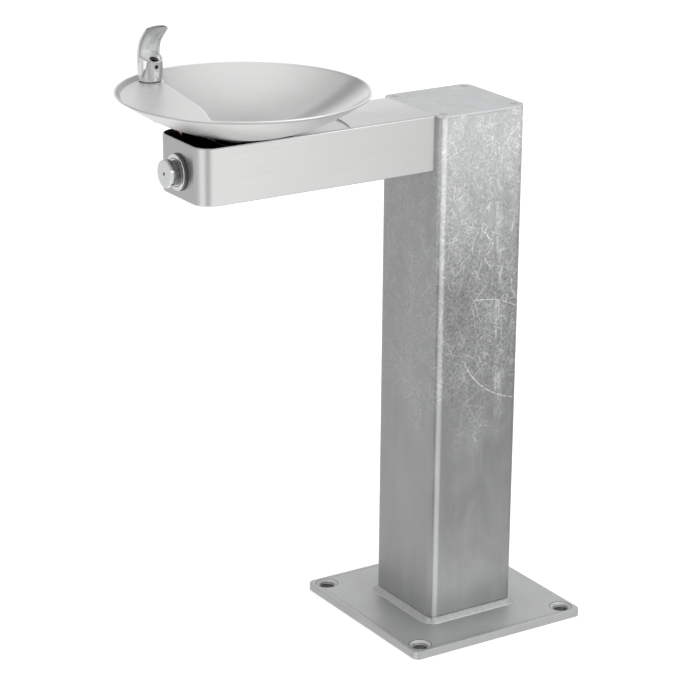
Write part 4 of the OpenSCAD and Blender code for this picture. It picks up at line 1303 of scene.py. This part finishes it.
def keep_cad_nodes(replaced):
    for name in sorted(NODES):
        if name not in replaced:
            polish_node(name, BEVELS.get(name, 0.15))


# ---------- studio ----------

def sky_value(g):
    """Brightness of the studio seen in a direction."""
    x, y, z = g.parts(g.node("ShaderNodeTexCoord").outputs["Generated"])
    sides = curve(g, g.line(g.math("ARCTAN2", x, y * -1.0), -math.pi, math.pi), AROUND)
    level = curve(g, g.line(z, -1.0, 1.0), UPWARD)
    mix = g.node("ShaderNodeMix", g.ramp(abs(z), 0.45, 0.95), data_type="FLOAT")
    g.plug(mix.inputs[2], sides)
    g.plug(mix.inputs[3], 1.0)
    return Value(g, mix.outputs[0]) * level


def curve(g, place, points):
    """A value read off a smooth curve; points are (place from 0 to 1, value)."""
    made = g.node("ShaderNodeValToRGB", place)
    ramp = made.color_ramp
    ramp.interpolation = "B_SPLINE"
    while len(ramp.elements) < len(points):
        ramp.elements.new(0.5)
    for element, (position, value) in zip(ramp.elements, points):
        element.position = position
        element.color = (value, value, value, 1.0)
    return Value(g, made.outputs[0])


def degrees_round(angle):
    """Place on the AROUND curve of a direction, in degrees from -Y towards +X."""
    return (angle + 180) / 360


AROUND = [(degrees_round(a), v) for a, v in [
    (-180, 0.60), (-150, 0.78), (-123, 0.84), (-95, 0.76), (-75, 0.56), (-57, 0.50), (-33, 0.64),
    (-8, 0.42), (14, 1.20), (30, 1.20), (46, 0.48), (62, 0.34), (80, 1.05), (98, 1.20), (122, 1.0),
    (150, 0.82), (180, 0.60)]]
UPWARD = [(0.0, 1.05), (0.16, 1.05), (0.30, 0.97), (0.46, 0.94), (0.52, 1.02), (0.58, 0.94),
          (0.66, 1.00), (0.78, 0.60), (0.90, 0.66), (1.0, 0.88)]


def make_world():
    """Pale studio: plain white to the camera, softly graded for reflections and light."""
    world = bpy.data.worlds.new("studio")
    bpy.context.scene.world = world
    world.use_nodes = True
    g = Graph(world.node_tree)
    g.tree.nodes.clear()
    graded = g.node("ShaderNodeBackground", sky_value(g), 1.3).outputs[0]
    plain = g.node("ShaderNodeBackground", (1.0, 1.0, 1.0, 1.0)).outputs[0]
    to_camera = g.node("ShaderNodeLightPath").outputs["Is Camera Ray"]
    pick = g.node("ShaderNodeMixShader", to_camera, graded, plain)
    g.node("ShaderNodeOutputWorld", pick.outputs[0])


def area_light(name, place, target, size, power):
    """Soft box aimed at a point."""
    data = bpy.data.lights.new(name, "AREA")
    data.shape = "RECTANGLE"
    data.size, data.size_y = size
    data.energy = power
    obj = bpy.data.objects.new(name, data)
    bpy.context.scene.collection.objects.link(obj)
    obj.location = place
    aim = Vector(target) - Vector(place)
    obj.rotation_euler = aim.to_track_quat("-Z", "Y").to_euler()


def make_floor():
    """Plain pale floor; it catches a faint shadow but isn't seen in the metal."""
    m = Shader("floor")
    grain = m.noise(3.0, 2.0)
    colour = m.tint(0.95 + grain * 0.02, WHITE)
    m.plug(m.surface.inputs["Emission Color"], (1.0, 1.0, 1.0, 1.0))
    material = m.finish(colour, 0.8, 0.0, Specular_IOR_Level=0.0, Emission_Strength=0.40)
    size = 14.0
    mesh = bpy.data.meshes.new("floor")
    mesh.from_pydata([(-size, -size, 0), (size, -size, 0), (size, size, 0), (-size, size, 0)],
                     [], [(0, 1, 2, 3)])
    obj = bpy.data.objects.new("floor", mesh)
    bpy.context.scene.collection.objects.link(obj)
    obj.data.materials.append(material)
    obj.location.z = -0.0005
    obj.visible_glossy = False


def make_camera():
    """Long lens, to the right of and above the fountain."""
    data = bpy.data.cameras.new("camera")
    data.sensor_width = 36.0
    data.lens = 136.37314
    data.clip_end = 60.0
    obj = bpy.data.objects.new("camera", data)
    bpy.context.scene.collection.objects.link(obj)
    right = Vector((0.53957, 0.84189, 0.00945))
    back = Vector((0.79362, -0.51232, 0.32818)).normalized()
    right = (right - back * right.dot(back)).normalized()
    up = back.cross(right)
    turn = Matrix((right, up, back)).transposed()
    obj.matrix_world = Matrix.Translation((3.08324, -2.16618, 1.72111)) @ turn.to_4x4()
    bpy.context.scene.camera = obj


def make_studio():
    make_world()
    make_floor()
    make_camera()
    area_light("key", (2.6, 1.2, 2.6), (0.0, -0.1, 0.6), (1.6, 1.6), 16.0)
    area_light("top", (-0.3, -0.2, 3.6), (0.0, -0.3, 0.5), (4.0, 4.0), 3.0)
    view = bpy.context.scene.view_settings
    view.view_transform = "Standard"
    view.look = "None"
    view.exposure = 0.0


make_bowl()
make_shelf()
make_arm()
make_button()
make_flange()
make_spring()
make_hood()
make_bubbler()
make_weld()
keep_cad_nodes({"bowl", "bubbler_shelf", "arm_shell", "push_button", "button_flange",
                "button_spring", "bubbler_body", "foot_weld"})
make_studio()
